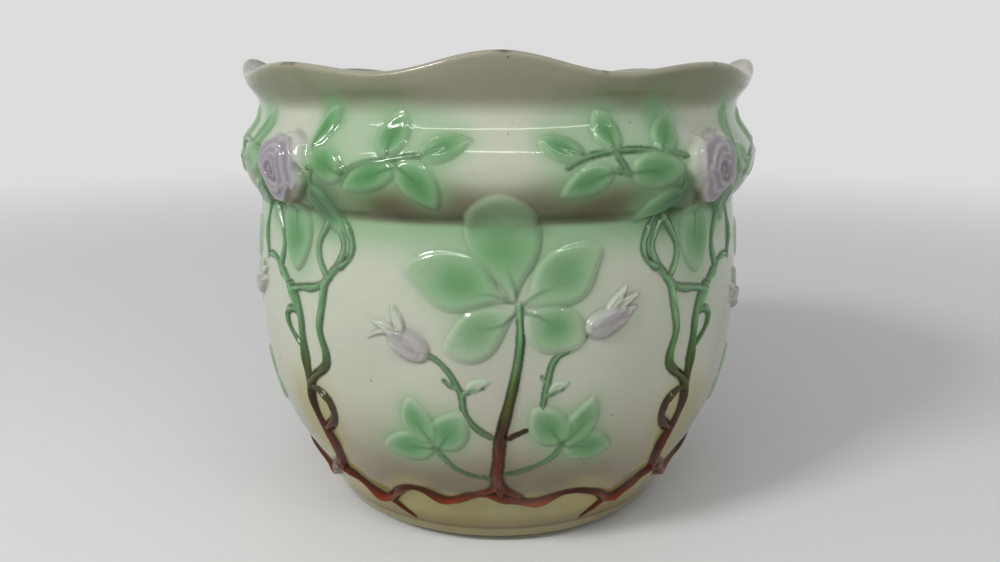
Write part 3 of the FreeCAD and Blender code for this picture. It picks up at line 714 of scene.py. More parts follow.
def blade(sheet, outline, rise, tones=None, veins=(), dish=0.3, edge=3.4, bridge=0.0, dome=0.0, layer=0.0,
          own=0.3):
    # a leaf or petal: its edge stands up, its middle is dished or domed
    azimuths, ways = outline[:, 0], outline[:, 1]
    area = sheet.window(azimuths, ways, 6)
    closed = np.concatenate([outline, outline[:1]])
    steps = np.hypot(np.diff(closed[:, 0]) * leafDegree, np.diff(closed[:, 1]))
    lengths = np.concatenate([[0], np.cumsum(steps)])
    at = np.linspace(0, lengths[-1], int(lengths[-1] / 0.45) + 8)
    away = sheet.nearest(area, *(np.interp(at, lengths, closed[:, axis]) for axis in (0, 1)))[0]
    inside = insideOf(sheet.a[area], sheet.w[area], outline)
    signed = np.where(inside, away, -away)
    widest = max(signed.max(), 0.5)
    inner = np.clip(signed / widest, 0, 1)
    toRight = (sheet.a[area] - azimuths.mean()) * leafDegree
    toTop = sheet.w[area] - ways.mean()
    facing = (0.75 * toRight - 0.66 * toTop) / (np.hypot(toRight, toTop) + 0.1)
    wall = step(-0.3 * edge, edge, signed)
    lift = rise * wall * (1 - dish * step(0.1, 0.9, inner) + dome * np.sqrt(inner * (2 - inner)))
    if tones is None:
        tint = mix(sheet.plain[area], "leafMid", own * step(0.0, 2.5, signed))
    else:
        tint = mix(tones[0] + 0 * sheet.plain[area], tones[1], step(0.6, 0.0, inner))
        tint = mix(tint, sheet.plain[area], 0.35)
    # painted highlight along the raised edge, most on the upper left, over a thin pale glaze all round
    rim = np.exp(-((signed - 0.8) / 0.8) ** 2) * (0.05 + 0.34 * step(0.3, -0.8, facing))
    tint = mix(tint, "leafPale", rim)
    for azimuthsV, heightsV in veins:
        line = smoothLine([(a * leafDegree, wayOf(h)) for a, h in zip(azimuthsV, heightsV)], 60)
        off, spot = sheet.nearest(area, line[:, 0] / leafDegree, line[:, 1])
        slim = 0.8 * (1.15 - 0.6 * spot / 60)
        lift = lift + 0.6 * np.exp(-(off / slim) ** 2) * wall * (1 - 0.6 * spot / 60)
        tint = mix(tint, "leafDark", 0.6 * np.exp(-(off / slim) ** 2) * (1 - (spot / 62) ** 2))
    if bridge:
        crease = wayOf(pot["shoulderHeight"])
        lift = lift + bridge * wall * np.exp(-((sheet.w[area] - crease) / 4.5) ** 2)
    lift = lift + layer * (signed > -0.2)
    lift = np.where(signed > -reliefSheet["margin"], np.maximum(lift, reliefSheet["marginLift"]), -1)
    sheet.put(area, lift, tint, -signed)
    # glaze gathers against the edge, with painted shade on the lower right
    poolAndShade = np.exp(-((signed + 0.35) / 0.55) ** 2) * (0.03 + 0.56 * step(0.0, 0.8, facing))
    sheet.line[area] = np.maximum(sheet.line[area], poolAndShade)


def finishSheet(sheet, tone, pooling=0.35):
    # soften the forms a little, then let the glaze gather in hollows and thin on edges
    soft = blur(blur(np.maximum(sheet.lift, 0), 0.95, 0), 0.95, 1)
    sheet.lift = np.where(sheet.lift > 0.06, soft, sheet.lift)
    flat = (sheet.lift > -0.9) & (sheet.lift < 0.02) & (sheet.near < reliefSheet["margin"])
    sheet.lift = np.where(flat, 0.04, sheet.lift)
    shown = np.maximum(sheet.lift, 0)
    hollow = blur(blur(shown, 2.4, 0), 2.4, 1) - shown
    # dark edge lines: gathered glaze, with painted shade on the lower right
    sheet.tint = mix(sheet.tint, glaze[tone + "Line"], 0.7 * sheet.line)
    sheet.tint = mix(sheet.tint, sheet.tint * 0.62, np.clip(hollow * pooling * 1.5, 0, 0.5))
    thin = np.clip(-hollow * pooling * 0.7, 0, 0.25)
    sheet.tint = mix(sheet.tint, sheet.tint * 1.25 if tone == "bark" else glaze["petalPale"], thin)
    sheet.tint = blur(blur(sheet.tint, 0.85, 0), 0.85, 1)
    # the sheet's margin takes the wall's own colour
    fade = step(0.9, reliefSheet["margin"] - 0.3, sheet.near)
    sheet.tint = sheet.tint + (sheet.plain - sheet.tint) * fade[..., None]


def sheetMesh(sheet, name, slotName, turn=0.0, mirrored=False):
    lift = sheet.lift
    outwards = liftAt(sheet.a, sheet.w)
    points = sheet.wall + outwards * np.maximum(lift, -0.6)[..., None]
    reach = cadBox[1][0] / mm - 0.02
    points[..., :2] = np.clip(points[..., :2], -reach, reach)
    smooth = sheet.wall + outwards * np.maximum(lift, 0)[..., None]
    normals = np.cross(np.gradient(smooth, axis=0), np.gradient(smooth, axis=1))
    normals /= np.linalg.norm(normals, axis=-1, keepdims=True)
    kept = lift > 0
    quads = kept[:-1, :-1] | kept[1:, :-1] | kept[1:, 1:] | kept[:-1, 1:]
    number = np.arange(sheet.a.size).reshape(sheet.a.shape)
    i, j = np.nonzero(quads)
    front = np.stack([number[i, j], number[i + 1, j], number[i + 1, j + 1], number[i, j + 1]], 1)
    # the back, and a wall of quads down to it round the edge of what is kept
    faces = [front, front[:, ::-1] + number.size]
    padded = np.pad(quads, 1)
    for di, dj, ends in ((0, -1, ((0, 0), (1, 0))), (1, 0, ((1, 0), (1, 1))), (0, 1, ((1, 1), (0, 1))),
                         (-1, 0, ((0, 1), (0, 0)))):
        bare = quads & ~padded[1 + di:padded.shape[0] - 1 + di, 1 + dj:padded.shape[1] - 1 + dj]
        i, j = np.nonzero(bare)
        a, b = (number[i + over, j + up] for over, up in ends)
        faces.append(np.stack([b, a, a + number.size, b + number.size], 1))
    faces = np.concatenate(faces)
    back = sheet.wall - outwards * reliefSheet["back"]
    points = np.concatenate([points.reshape(-1, 3), back.reshape(-1, 3)])
    normals = np.concatenate([normals.reshape(-1, 3), -outwards.reshape(-1, 3)])
    tints = np.concatenate([sheet.tint.reshape(-1, 3)] * 2)
    used, faces = np.unique(faces, return_inverse=True)
    faces = faces.reshape(-1, 4)
    points, normals, tints = points[used], normals[used], tints[used]
    if mirrored:
        points, normals, faces = points * (-1, 1, 1), normals * (-1, 1, 1), faces[:, ::-1]
    angle = math.radians(turn)
    across, along = math.cos(angle), math.sin(angle)
    spin = np.array([[across, -along, 0], [along, across, 0], [0, 0, 1]])
    mesh = bpy.data.meshes.new(name)
    mesh.vertices.add(len(points))
    mesh.vertices.foreach_set("co", (points @ spin.T * mm).ravel())
    mesh.loops.add(len(faces) * 4)
    mesh.loops.foreach_set("vertex_index", faces.ravel())
    mesh.polygons.add(len(faces))
    mesh.polygons.foreach_set("loop_start", np.arange(len(faces)) * 4)
    mesh.update(calc_edges=True)
    mesh.materials.append(materials[slotName])
    mesh.shade_smooth()
    mesh.normals_split_custom_set_from_vertices(normals @ spin.T)
    setTint(mesh, tints)
    return mesh


def stemTint(height, azimuth, ratio):
    tint = mix(glaze["stemBrown"] + np.zeros(height.shape + (3,)), glaze["stemDark"], step(74, 94, height))
    tint = mix(tint, "stemOlive", step(94, 108, height))
    tint = mix(tint, "stemGreen", step(110, 134, height))
    tint = mix(tint, "stemMint", step(126, 160, height))
    return mix(tint, tint * 0.5, step(0.6, 1.15, ratio) * 0.7 * step(44, 62, height))


def twigTint(height, azimuth, ratio):
    tint = mix(glaze["stemGreen"] + np.zeros(height.shape + (3,)), glaze["stemMint"], 0.45)
    tint = mix(tint, "stemOlive", 0.7 * step(104, 88, height) * step(12, 4, np.abs(azimuth)))
    tint = mix(tint, "stemOlive", 0.6 * step(70, 60, height))
    return mix(tint, "leafDark", step(0.5, 1.2, ratio) * 0.7)


def rootTint(height, azimuth, ratio):
    tint = plainTint("rootBrown", height)
    for spot in (-32, -12, 9, 32):
        tint = mix(tint, "rootRed", 0.85 * np.exp(-((azimuth - spot) / 4.4) ** 2))
    for spot in (-22, 20):
        tint = mix(tint, "rootDark", 0.5 * np.exp(-((azimuth - spot) / 5.0) ** 2))
    return mix(tint, "rootDark", step(0.6, 1.2, ratio) * 0.8)


# Trunk: points are (azimuth, height, share of the thickness)
bush = dict(
    thickness=8.0, branch=3.4,
    feet=[[(0.1, 58, 0.7), (-0.7, 51.5, 0.7), (-2.2, 47.8, 0.6), (-4.6, 46, 0.4)],
          [(0.2, 58, 0.7), (1.0, 51, 0.75), (2.8, 46.8, 0.7), (5.4, 42.8, 0.45)]],
    line=[(0.5, 47, 0.95), (0.2, 51, 0.95), (-0.2, 56, 0.92), (0.1, 72, 0.8), (0.4, 86, 0.8),
          (1.4, 100, 0.7), (2.6, 115, 0.6), (3.6, 130, 0.5), (4.2, 146, 0.43), (4.0, 162, 0.45)],
    twig=[(0.8, 86, 0.8), (3.0, 89, 0.65), (5.6, 92.5, 0.4)],
    top=[(4.0, 158, 0.45), (4.0, 161, 0.45), (3.9, 164, 0.38)])


def trunk():
    sheet = Sheet((-6, 9), (36, 172), 0.42)
    for points in bush["feet"]:
        stem(sheet, points, bush["thickness"], stemTint, 5, 0.1, melt=54)
    stem(sheet, bush["line"], bush["thickness"], stemTint, 3, 0.1, 0.1, melt=54)
    stem(sheet, bush["twig"], bush["branch"], stemTint, 4, 0.1)
    finishSheet(sheet, "bark")
    return sheet


# The five large leaves are drawn by their outlines, each listed from its base round to its base again,
# with one vein each and the line and width of the colour sprayed on
bigLeaves = dict(
    upperLeft=dict(outline=[(3, 165.5), (0.2, 171), (-1.4, 180), (-3.2, 187), (-8, 191.5), (-14.5, 189.5),
                            (-18.2, 180), (-16, 173.5), (-13.6, 167), (-11.4, 162), (-8.6, 160),
                            (-5, 161.5), (-0.6, 165)],
                   vein=((3.6, 1.4, -1.8, -5.2), (162, 166.6, 170, 169)),
                   spray=([(0, 170), (-8, 176), (-14, 180)], 26)),
    upperRight=dict(outline=[(4.6, 164), (6, 172), (7.2, 183), (10, 191), (14, 195), (17.4, 195.4),
                             (20.3, 191), (19.6, 184), (18.4, 175), (16.6, 167.4), (13.8, 163.4),
                             (10, 162), (7, 162)],
                    vein=((4.4, 6.2, 8.6, 11), (163, 168, 171.6, 172.6)),
                    spray=([(7, 168), (12.5, 180), (16.5, 187)], 27)),
    lowerLeft=dict(outline=[(3.2, 160), (-1, 162.4), (-6, 159.4), (-8.8, 150), (-10, 138), (-8.4, 134.4),
                            (-5, 132.4), (-1, 138), (1.2, 149)],
                   vein=((3.4, 1.6, -1, -4.6), (160, 155.4, 152.4, 151.4)),
                   spray=([(0, 158), (-4, 150), (-7.5, 139)], 22)),
    lowerRight=dict(outline=[(5, 160.4), (8, 162.6), (12, 162.6), (15, 158), (16.8, 149.6), (16, 141),
                             (12, 137.4), (8, 139), (5.6, 146)],
                    vein=((4.8, 6.8, 8.8, 10.6), (160, 159, 156, 152)),
                    spray=([(7, 158), (11, 152), (14, 145)], 22)),
    top=dict(outline=[(3, 165), (1.4, 172), (-1.6, 180), (-4.2, 188), (-5.9, 197), (-6.4, 205), (-5.6, 213),
                      (-3, 219.5), (0.5, 222), (4, 219), (6.6, 213), (7.8, 204), (7.9, 194), (6.7, 185),
                      (4.6, 176)],
             vein=((3.7, 3.4, 2.4, 1.6), (163, 170, 178, 186)),
             spray=([(2, 176), (1, 196), (0.4, 212)], 34), bridge=2.4, own=0.45))


def leafCluster():
    sheet = Sheet((-21, 23), (127, 227))
    for layer, leaf in enumerate(bigLeaves.values()):
        blade(sheet, closedOutline(leaf["outline"]), 1.8, None, [leaf["vein"]], layer=0.1 * layer,
              bridge=leaf.get("bridge", 0.0), own=leaf.get("own", 0.3))
    stem(sheet, bush["top"], bush["thickness"], stemTint, 3)
    finishSheet(sheet, "leaf")
    return sheet


# Buds: stalk with thorns, a pale leaf bud on its twig, the bud's body, its petals and curled sepals
budTones = [mix(glaze["lavender"], "petalPale", share) for share in (0.25, 0.75)]
curlTones = (mix(glaze["petalPale"], "cream", 0.6), glaze["cream"])
twigLeafTones = (mix(glaze["cream"], "mist", 0.4), glaze["leafPale"])
buds = dict(
    left=dict(azimuths=(-30, 1), heights=(82, 168), seed=8,
              stalk=[(-1.0, 88, 1.1), (-3.4, 92, 1.05), (-5.5, 98, 1.05), (-6.7, 105, 1.0),
                     (-7.0, 113, 1.0), (-8.0, 120, 0.95), (-9.5, 127, 0.95), (-11.6, 133, 0.9),
                     (-14.5, 137, 1.1)],
              twigs=[[(-8.0, 118, 0.8), (-9.2, 119.5, 0.6), (-10.4, 122, 0.3)],
                     [(-7.0, 113, 0.8), (-5.5, 117, 0.8), (-3.0, 118.6, 0.4)]],
              curled=[[(-18.5, 146, 1.4), (-21.0, 146.8, 1.2), (-23.4, 146, 1.0), (-26.0, 142, 0.4)]],
              twigLeaf=[(-6.0, 115.5), (-4.8, 120.5), (-1.6, 122), 6.5],
              body=[(-13.2, 135), (-17, 140), (-21.8, 147.4), 15.5],
              petals=[(3.2, [(-14.4, 138.5), (-16.5, 144), (-20.6, 149), 7]),
                      (3.0, [(-15, 136), (-18, 136.5), (-21.4, 141.5), 6])],
              curls=[(2.4, [(-18.5, 146), (-19.2, 153), (-20.6, 162), 6]),
                     (2.2, [(-19.5, 147), (-22, 150), (-25, 152), 5])]),
    right=dict(azimuths=(5, 32), heights=(98, 176), seed=9,
               stalk=[(8.6, 103, 1.0), (8.9, 110, 1.0), (9.2, 117, 1.0), (9.7, 124, 1.0), (10.3, 131, 0.95),
                      (11.8, 136.5, 0.95), (14.2, 139.3, 0.9), (16.2, 143.5, 0.9), (17.6, 150, 1.1)],
               twigs=[[(9.6, 120, 0.8), (9.0, 121.8, 0.6), (8.5, 124.5, 0.3)],
                      [(9.1, 113, 0.8), (10.6, 115.4, 0.8), (12.5, 117, 0.4)]],
               curled=[],
               twigLeaf=[(9.8, 114.5), (11, 118.6), (13.8, 120), 6],
               body=[(16.6, 148), (20.5, 152), (26.8, 157), 15],
               petals=[(3.2, [(17.6, 150), (21, 156), (25.6, 159), 7]),
                       (3.0, [(18, 148.5), (22, 149.5), (26.4, 155), 6])],
               curls=[(2.4, [(20, 153), (23, 161), (28.4, 166), 6]),
                      (2.4, [(20, 154), (23, 163), (25.6, 171), 5]),
                      (2.2, [(21, 153), (24, 158), (28, 158.5), 5])]))


def bud(side):
    parts = buds[side]
    sheet = Sheet(parts["azimuths"], parts["heights"], 0.5)
    stem(sheet, parts["stalk"], bush["branch"], twigTint, parts["seed"], 0.2, 0.0, 0.54)
    for points in parts["twigs"]:
        stem(sheet, points, bush["branch"], twigTint)
    for points in parts["curled"]:
        stem(sheet, points, bush["branch"], lambda height, azimuth, ratio: plainTint("petalPale", height))
    blade(sheet, leafOutline(parts["twigLeaf"]), 1.2, twigLeafTones, edge=1.6)
    blade(sheet, leafOutline(parts["body"]), 2.0, budTones, dish=0, dome=0.9, edge=2.0)
    for rise, leaf in parts["petals"]:
        blade(sheet, leafOutline(leaf), rise, budTones, dish=0.1, dome=0.4, edge=1.6)
    for rise, leaf in parts["curls"]:
        blade(sheet, leafOutline(leaf), rise, curlTones, edge=1)
    finishSheet(sheet, "bud")
    return sheet


# Sprigs beside the trunk: three leaves on a curved stalk
sprigs = dict(
    left=dict(azimuths=(-28, 2), heights=(54, 116), seed=12,
              leaves=[[(-13.4, 85), (-17.5, 95), (-17.5, 110.5), 17],
                      [(-13.2, 80), (-18.5, 80), (-25, 76.5), 20],
                      [(-12.6, 79.5), (-10, 90), (-7, 103), 22]],
              stalk=[(-13.4, 84, 0.9), (-12.8, 78.5, 0.95), (-11.4, 72.5, 1.0), (-9.4, 66, 1.0),
                     (-6.5, 61.6, 1.0), (-3.2, 59.6, 1.0), (-0.4, 59, 1.0)]),
    right=dict(azimuths=(-1, 28), heights=(56, 115), seed=13,
               leaves=[[(13.4, 84), (18, 93), (19, 110), 17], [(13.6, 81), (19, 80), (24.6, 76.5), 20],
                       [(13.0, 83), (10.5, 94), (6.8, 106), 21]],
               stalk=[(13.5, 83, 0.9), (12.4, 76.5, 0.95), (10.0, 70.3, 1.0), (6.2, 65.6, 1.0),
                      (3.2, 63, 1.0), (0.6, 61.8, 1.0)]))


def sprig(side):
    parts = sprigs[side]
    sheet = Sheet(parts["azimuths"], parts["heights"])
    for leaf in parts["leaves"]:
        blade(sheet, leafOutline(leaf), 1.6, None, ribOf(leaf), edge=2.6)
    stem(sheet, parts["stalk"], 3.0, twigTint, parts["seed"], 0.18, 0.0, 0.54)
    finishSheet(sheet, "leaf")
    return sheet


# The root along the foot, from the corner to the middle of a side, and a spur at each end
rooting = dict(
    thickness=6.6,
    corner=[(46.5, 46.5, 1.25), (44, 45, 1.2), (41, 41.5, 1.15), (37.5, 34.5, 1.15), (34, 29, 1.3),
            (31, 29.5, 1.2), (28, 35, 0.95)],
    middle=[(-25, 41, 0.75), (-21.5, 44.5, 0.7), (-18, 43, 0.85), (-15, 39, 1.0), (-12, 37.8, 1.1),
            (-9, 40.5, 0.95), (-6, 44, 0.75), (-3, 45, 0.8), (0, 44, 1.4), (3, 42, 1.2), (6, 38.6, 1.15),
            (9, 36.8, 1.2), (12, 38.4, 1.1), (15, 41.6, 0.85), (18.5, 43, 0.7), (22, 41.4, 0.7),
            (25, 38.6, 0.75)],
    spur=[(31, 28, 0.8), (28.5, 21.5, 0.6), (25.5, 15.5, 0.25)])


def rootBand():
    sheet = Sheet((-45, 45), (10, 54))
    left, spur = ([(-azimuth, height, share) for azimuth, height, share in rooting[name]]
                  for name in ("corner", "spur"))
    line = left + rooting["middle"] + rooting["corner"][::-1]
    stem(sheet, line, rooting["thickness"], rootTint, 21, 0.16, 0.1, 0.76)
    for points in (spur, rooting["spur"]):
        stem(sheet, points, rooting["thickness"], rootTint, 22, 0.1)
    finishSheet(sheet, "bark")
    return sheet


# Leaf sprays on the roll; the bridged leaf crosses the crease
rollSprays = dict(
    left=dict(azimuths=(-42, -1), seed=14, bridged=6,
              leaves=[[(-13.6, 240), (-10, 245), (-4.6, 248), 14],
                      [(-19.4, 239), (-20, 250), (-17.4, 261.5), 17],
                      [(-17.8, 235), (-23, 230), (-29, 222.5), 15],
                      [(-18, 236), (-13, 228), (-11, 213.5), 18],
                      [(-28.6, 230), (-33, 233), (-36.4, 243), 18],
                      [(-36.2, 241), (-35.5, 254), (-31.5, 264), 12],
                      [(-37.2, 223), (-36, 210), (-31.8, 197.5), 17]],
              stems=[[(-29, 225, 0.7), (-27, 232, 0.9), (-24, 236, 1.0), (-20, 237.8, 1.0),
                      (-16.5, 239.5, 0.9), (-13, 240.8, 0.8)],
                     [(-27, 232, 0.8), (-31, 233, 0.9), (-37.4, 232, 0.8)],
                     [(-35.6, 232.6, 0.8), (-36.9, 226, 0.8), (-36.4, 218, 0.7)]]),
    right=dict(azimuths=(1, 42), seed=15, bridged=5,
               leaves=[[(15, 240.5), (11, 244), (7, 248.5), 13], [(20.4, 242), (20.8, 252), (18, 262), 15],
                       [(20.4, 232.5), (15.5, 229), (11, 220.5), 15],
                       [(23.8, 231.5), (29, 233), (36.4, 231), 19],
                       [(30, 240.5), (33, 248), (35.5, 262), 16],
                       [(36.6, 219), (32, 214), (26.5, 205.5), 15]],
               stems=[[(12, 235, 0.7), (15.4, 239.6, 0.9), (20, 242, 1.0), (25, 242.6, 1.0), (31, 241, 0.9),
                       (37.4, 238, 0.8)],
                      [(20.8, 242, 0.9), (22.2, 236, 0.9), (23.6, 230.5, 0.7)],
                      [(23.6, 230.5, 0.8), (21.5, 232.4, 0.8), (19, 232, 0.7)],
                      [(35.4, 231.5, 0.8), (36.9, 225, 0.8), (36.2, 217.5, 0.7)]]))


def rollSpray(side):
    parts = rollSprays[side]
    sheet = Sheet(parts["azimuths"], (196, 268))
    for number, leaf in enumerate(parts["leaves"]):
        blade(sheet, leafOutline(leaf), 1.6, None, ribOf(leaf), edge=2.8,
              bridge=1.5 if number == parts["bridged"] else 0)
    for points in parts["stems"]:
        stem(sheet, points, 3.0, twigTint, parts["seed"], 0.1)
    finishSheet(sheet, "leaf")
    return sheet


# The winding vine at a corner: its strands from the root up, and the thinner tendrils over them
climber = dict(
    thickness=7.6, tendril=3.8,
    strands=[
        [(44.2, 40, 0.5), (43.6, 47, 1.0), (42.2, 55, 1.15), (41.2, 63, 1.2), (41.6, 70, 1.0),
         (43.2, 78, 0.85), (44.2, 88, 0.8), (44.3, 98, 0.9), (44.2, 109, 1.0), (44.1, 120, 0.95),
         (44.5, 132, 0.9), (45.0, 145, 0.9), (46.4, 155, 1.0), (48.2, 162, 0.85)],
        [(44.2, 103, 0.8), (42.0, 110.5, 0.8), (39.2, 116, 0.85), (37.3, 122.5, 0.75), (37.7, 131, 0.7),
         (38.7, 140, 0.7), (38.2, 150, 0.75), (37.4, 160, 0.75), (36.7, 168, 0.7), (35.0, 173.5, 0.6),
         (32.4, 179, 0.5), (29.6, 184, 0.2)],
        [(44.0, 103, 0.7), (41.2, 101.6, 0.7), (38.8, 97.5, 0.75), (37.8, 90.5, 0.8), (38.6, 84, 0.8),
         (41.0, 78.5, 0.8), (43.0, 73.5, 0.7), (43.6, 68.5, 0.6), (43.2, 63, 0.4)],
        [(47.2, 160.5, 0.8), (44.4, 162.6, 0.62), (41, 163.8, 0.6), (37.2, 167, 0.7)],
        [(47.2, 158.5, 0.85), (50, 164.5, 0.8), (52.8, 170.5, 0.75), (55.6, 174.6, 0.55), (59, 175.6, 0.45),
         (62.4, 172.2, 0.2)]],
    tendrils=[
        [(45, 127, 0.9), (47.8, 132, 1.0), (49.9, 138, 1.0), (50.2, 144.6, 1.0), (48.6, 148, 0.9),
         (46, 147.5, 0.9)],
        [(32.4, 179, 0.9), (30.2, 184.5, 0.9), (29.6, 190, 0.9), (30.4, 198, 0.9), (32.2, 206, 0.9)],
        [(36.2, 172, 1.0), (38, 179.5, 0.95), (38.5, 188, 0.9), (37, 197, 0.9), (34.6, 206, 0.9)],
        [(34.8, 175, 0.9), (32.6, 181.5, 0.9), (31.6, 190, 0.9), (32.6, 198, 0.9), (35, 206, 0.9)],
        [(52.8, 171, 1.0), (51.8, 179.5, 0.95), (51.6, 188, 0.9), (53, 197, 0.9), (55.4, 206, 0.9)],
        [(60.6, 174.6, 0.9), (61.8, 182, 0.9), (62.2, 190, 0.9), (61.4, 198, 0.9), (59.8, 206, 0.9)]])


def vine():
    sheet = Sheet((25, 66), (34, 212), 0.5)
    for number, points in enumerate(climber["tendrils"]):
        stem(sheet, points, climber["tendril"], stemTint, 30 + number, 0.28, 0.12)
    for number, points in enumerate(climber["strands"]):
        stem(sheet, points, climber["thickness"], stemTint, 40 + number, 0.2, 0.2, 0.68)
    finishSheet(sheet, "bark")
    return sheet


# The rose and the leaf hanging below it; its petals lie in rings: share of the radius, petals,
# turn, rise, curl of the edge
roseShape = dict(azimuth=45.0, height=231.0, radius=23.5, reach=13, crown=7.0, wallRadius=164,
                 leaf=[(44.6, 215), (44, 193), (44.6, 172), 27],
                 rings=[(1.0, 3, 0.3, 0.0, 0.2), (0.76, 3, 0.85, 0.4, 0.8), (0.54, 3, 0.2, 0.5, 1.0),
                        (0.36, 2, 0.6, 0.6, 1.1)])


def rose():
    middle, radius, leaf = roseShape["azimuth"], roseShape["radius"], roseShape["leaf"]
    sheet = Sheet((middle - roseShape["reach"], middle + roseShape["reach"]), (166, 262), 0.5)
    blade(sheet, leafOutline(leaf), 2.1, None, ribOf(leaf), edge=2.0)
    across = np.radians(sheet.a - middle) * roseShape["wallRadius"]
    upwards = sheet.w - wayOf(roseShape["height"])
    outsideBy = np.hypot(across, upwards) - radius
    # petals never lie in true rings
    across = across + 1.3 * np.sin(0.28 * upwards + 0.6) + 0.6 * np.sin(0.55 * upwards + 2.0)
    upwards = upwards + 1.4 * np.sin(0.24 * across + 2.2) + 0.5 * np.sin(0.6 * across)
    away = np.hypot(across, upwards)
    angle = np.arctan2(upwards, across)
    crown = roseShape["crown"] * np.clip(1 - (away / (radius * 1.05)) ** 2, 0, 1) ** 0.75
    lift = np.full(away.shape, -1.0)
    tint = sheet.plain.copy()
    for share, petals, turn, base, curl in roseShape["rings"]:
        outermost = share == 1.0
        phase = (petals * angle / (2 * math.pi) + turn + 0.035 * away) % 1
        edgeAt = radius * share * (0.84 + 0.16 * np.sin(math.pi * phase) ** 0.6) * (1.06 - 0.14 * phase)
        depth = edgeAt - away
        petal = crown + base + curl * np.exp(-(depth / 2.0) ** 2) - 0.5 * step(1.5, 5, depth) + 0.5 * phase
        petal = petal * step(-0.6, 4.5 if outermost else 1.2, depth)
        if outermost:
            colour = glaze["petalPale"] + 0 * sheet.plain
            colour = mix(colour, sheet.plain, 0.35 + 0.65 * step(4.0, 0.0, depth))
            # painted shade on the lower part of the outer petals, on the roll's underside
            colour = mix(colour, "underRollShade", 0.5 * step(-0.4, -0.95, np.sin(angle)))
        else:
            colour = glaze["lavender"] + 0 * sheet.plain
            colour = mix(colour, "petalPale", 0.3 * np.exp(-(depth / 1.5) ** 2) + 0.15)
            colour = mix(colour, "lavenderDeep", 0.34 * step(1.6, 5.0, depth))
        over = (petal > lift) & (depth > -0.5)
        lift = np.where(over, petal, lift)
        tint = np.where(over[..., None], colour, tint)
    # the whorl in the middle
    whorl = np.cos(angle - away * 1.7)
    heart = step(radius * 0.34, radius * 0.22, away)
    lift = lift + heart * (0.6 * whorl)
    tint = mix(tint, "lavenderDeep", 0.6 * heart * step(0.1, -0.8, whorl))
    lift = np.where(outsideBy < reliefSheet["margin"], np.maximum(lift, reliefSheet["marginLift"]), -1)
    sheet.put((slice(None), slice(None)), lift, tint, outsideBy)
    finishSheet(sheet, "rose", 0.3)
    return sheet


# The sprayed colours, in the order in which they are laid
for shapes, strength, deep in ((rollSprays, 1.0, 0.85), (sprigs, 0.85, 0.6)):
    for leaf in shapes["left"]["leaves"] + shapes["right"]["leaves"]:
        sprayLeaf(leaf[:3], leaf[3], strength, deep)
for name in ("top", "upperLeft", "upperRight", "lowerLeft", "lowerRight"):
    sprayLeaf(*bigLeaves[name]["spray"], 0.85, 0.5)
sprayLeaf(roseShape["leaf"][:3], roseShape["leaf"][3], 1.0, 0.8)
sprays += [(-17.5, 141, 11, 9, 30, 0.8, "lavender"), (21.5, 152.5, 12, 9, 60, 0.8, "lavender"),
           (-33, 262, 12, 9, 0, 0.7, "leafMid"), (-22, 262, 16, 8, 90, 0.4, "mist"),
           (31, 262, 12, 9, 0, 0.6, "leafMid"), (19, 262, 14, 8, 90, 0.4, "mist"),
           # painted shade: dark green pools on the lower roll at the sides
           (-36, 213, 15, 13, 0, 0.85, "leafDark"), (35.5, 212, 15, 13, 0, 0.85, "leafDark"),
           (38.5, 250, 15, 6, 0, 0.55, "petalPale"), (51.5, 250, 15, 6, 0, 0.55, "petalPale"),
           (-28, 214, 16, 10, 90, 0.45, "leafMid"), (28, 214, 16, 10, 90, 0.45, "leafMid"),
           (0, 120, 44, 40, 0, 0.35, "blush"), (-28, 120, 38, 30, 0, 0.2, "blush"),
           (27, 110, 34, 30, 0, 0.2, "blush"), (45, 231, 17, 15, 0, 0.5, "lavender"),
           (45, 205, 12, 20, 0, 0.35, "mist")]

footRing()
belly()
shoulderRoll()
rimCollar()
print("jardiniere: turned wall and foot")

sideNodes = [side + "_side_" for side in ("front", "right", "back", "left")]
cornerNodes = [corner + "_" for corner in ("front_right", "back_right", "back_left", "front_left")]
total = 0
for kind, sheet, slotName in (
        ("trunk", trunk(), "bark_glaze"), ("rose_leaves", leafCluster(), "leaf_glaze"),
        ("left_bud", bud("left"), "bud_glaze"), ("right_bud", bud("right"), "bud_glaze"),
        ("left_sprig", sprig("left"), "leaf_glaze"), ("right_sprig", sprig("right"), "leaf_glaze"),
        ("roots", rootBand(), "root_glaze"), ("left_spray", rollSpray("left"), "leaf_glaze"),
        ("right_spray", rollSpray("right"), "leaf_glaze"), ("rose", rose(), "rose_glaze"),
        ("vine", vine(), "vine_glaze")):
    for number, place in enumerate(cornerNodes if kind in ("rose", "vine") else sideNodes):
        # vines are mirrored from one corner to the next
        mirrored = kind == "vine" and number % 2 == 1
        name = place + kind + "_relief"
        mesh = sheetMesh(sheet, name, slotName, (number + mirrored) * 90.0, mirrored)
        dressed(mesh, name, slotName, place + kind)
    total += len(mesh.polygons)
    print("jardiniere: relief", kind, len(mesh.polygons))
print("jardiniere: relief faces a side", total)


# Floor, background, lamps and camera
studio = dict(floorRadius=6.0, near=0.2, far=2.4, floorColour=0.82, world=0.36, background=0.72)
# place, aim, width, depth, power
lamps = dict(windowLeft=((-1.45, -1.3, 1.5), (0, 0, 0.16), 0.5, 0.4, 24),
             stripAbove=((-0.1, -0.9, 1.15), (0, 0, 0.2), 2.6, 0.035, 5.5),
             fillRight=((1.8, -1.0, 1.0), (0, 0, 0.15), 1.2, 1.0, 1.0))
view = dict(away=0.572, height=0.276, pitch=13.5, focal=830.0, centre=498.0, width=1000.0)


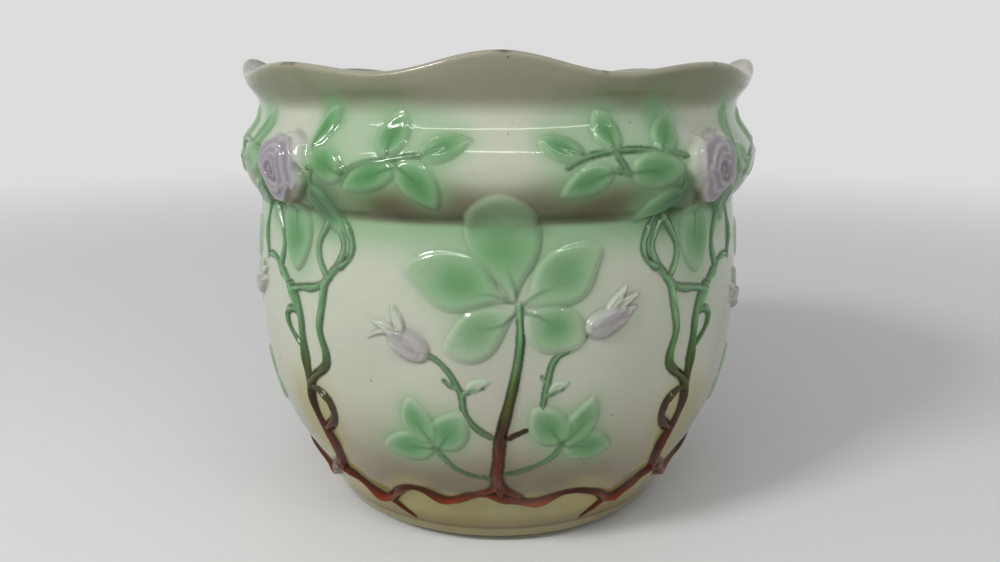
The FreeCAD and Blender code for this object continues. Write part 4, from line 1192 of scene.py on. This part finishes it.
def floor():
    mesh = bpy.data.meshes.new("floor")
    count = 96
    corners = [2 * math.pi * i / count for i in range(count)]
    radius = studio["floorRadius"]
    mesh.from_pydata([(radius * math.cos(angle), radius * math.sin(angle), 0) for angle in corners], [],
                     [tuple(range(count))])
    material = bpy.data.materials.new("paleFloor")
    material.use_nodes = True
    tree = material.node_tree
    tree.nodes.clear()
    start = Signal(tree, None)
    place = start.take(start.node("ShaderNodeTexCoord"), "Object")
    away = start.take(start.node("ShaderNodeVectorMath", dict(operation="LENGTH"), input0=place), "Value")
    tone = studio["floorColour"]
    matt = start.take(start.node("ShaderNodeBsdfDiffuse", Color=(tone, tone, tone, 1)))
    back = studio["background"]
    plain = start.take(start.node("ShaderNodeEmission", Color=(back, back, back, 1), Strength=1.0))
    blend = start.node("ShaderNodeMixShader", input0=away.between(studio["near"], studio["far"]),
                       input1=matt, input2=plain)
    start.node("ShaderNodeOutputMaterial", Surface=start.take(blend))
    mesh.materials.append(material)
    ground = bpy.data.objects.new("floor", mesh)
    bpy.context.scene.collection.objects.link(ground)


def world():
    scene = bpy.context.scene
    scene.world = bpy.data.worlds.new("studio")
    scene.world.use_nodes = True
    tree = scene.world.node_tree
    tree.nodes.clear()
    start = Signal(tree, None)
    rays = start.node("ShaderNodeLightPath")
    seen = start.calc("MAXIMUM", start.take(rays, "Is Camera Ray"), start.take(rays, "Is Transmission Ray"))
    seen = start.calc("MAXIMUM", seen, start.take(rays, "Is Glossy Ray"))
    level = seen * (studio["background"] - studio["world"]) + studio["world"]
    paint = start.node("ShaderNodeBackground", Color=(1, 1, 1, 1), Strength=level)
    start.node("ShaderNodeOutputWorld", Surface=start.take(paint))


def lamp(name, place, aim, width, depth, power):
    light = bpy.data.lights.new(name, "AREA")
    light.shape = "RECTANGLE"
    light.size, light.size_y = width, depth
    light.energy = power
    body = bpy.data.objects.new(name, light)
    body.location = place
    body.rotation_euler = (Vector(aim) - Vector(place)).to_track_quat("-Z", "Y").to_euler()
    bpy.context.scene.collection.objects.link(body)


floor()
world()
for name, values in lamps.items():
    lamp(name, *values)

camera = bpy.data.cameras.new("camera")
camera.sensor_width = 36.0
camera.lens = view["focal"] / view["width"] * camera.sensor_width
camera.shift_x = (view["width"] / 2 - view["centre"]) / view["width"]
camera.clip_start = 0.01
eye = bpy.data.objects.new("camera", camera)
eye.location = (0.0, -view["away"], view["height"])
eye.rotation_euler = (math.radians(90 - view["pitch"]), 0, 0)
bpy.context.scene.collection.objects.link(eye)
bpy.context.scene.camera = eye
bpy.context.scene.view_settings.view_transform = "Standard"
print("jardiniere: studio and camera")
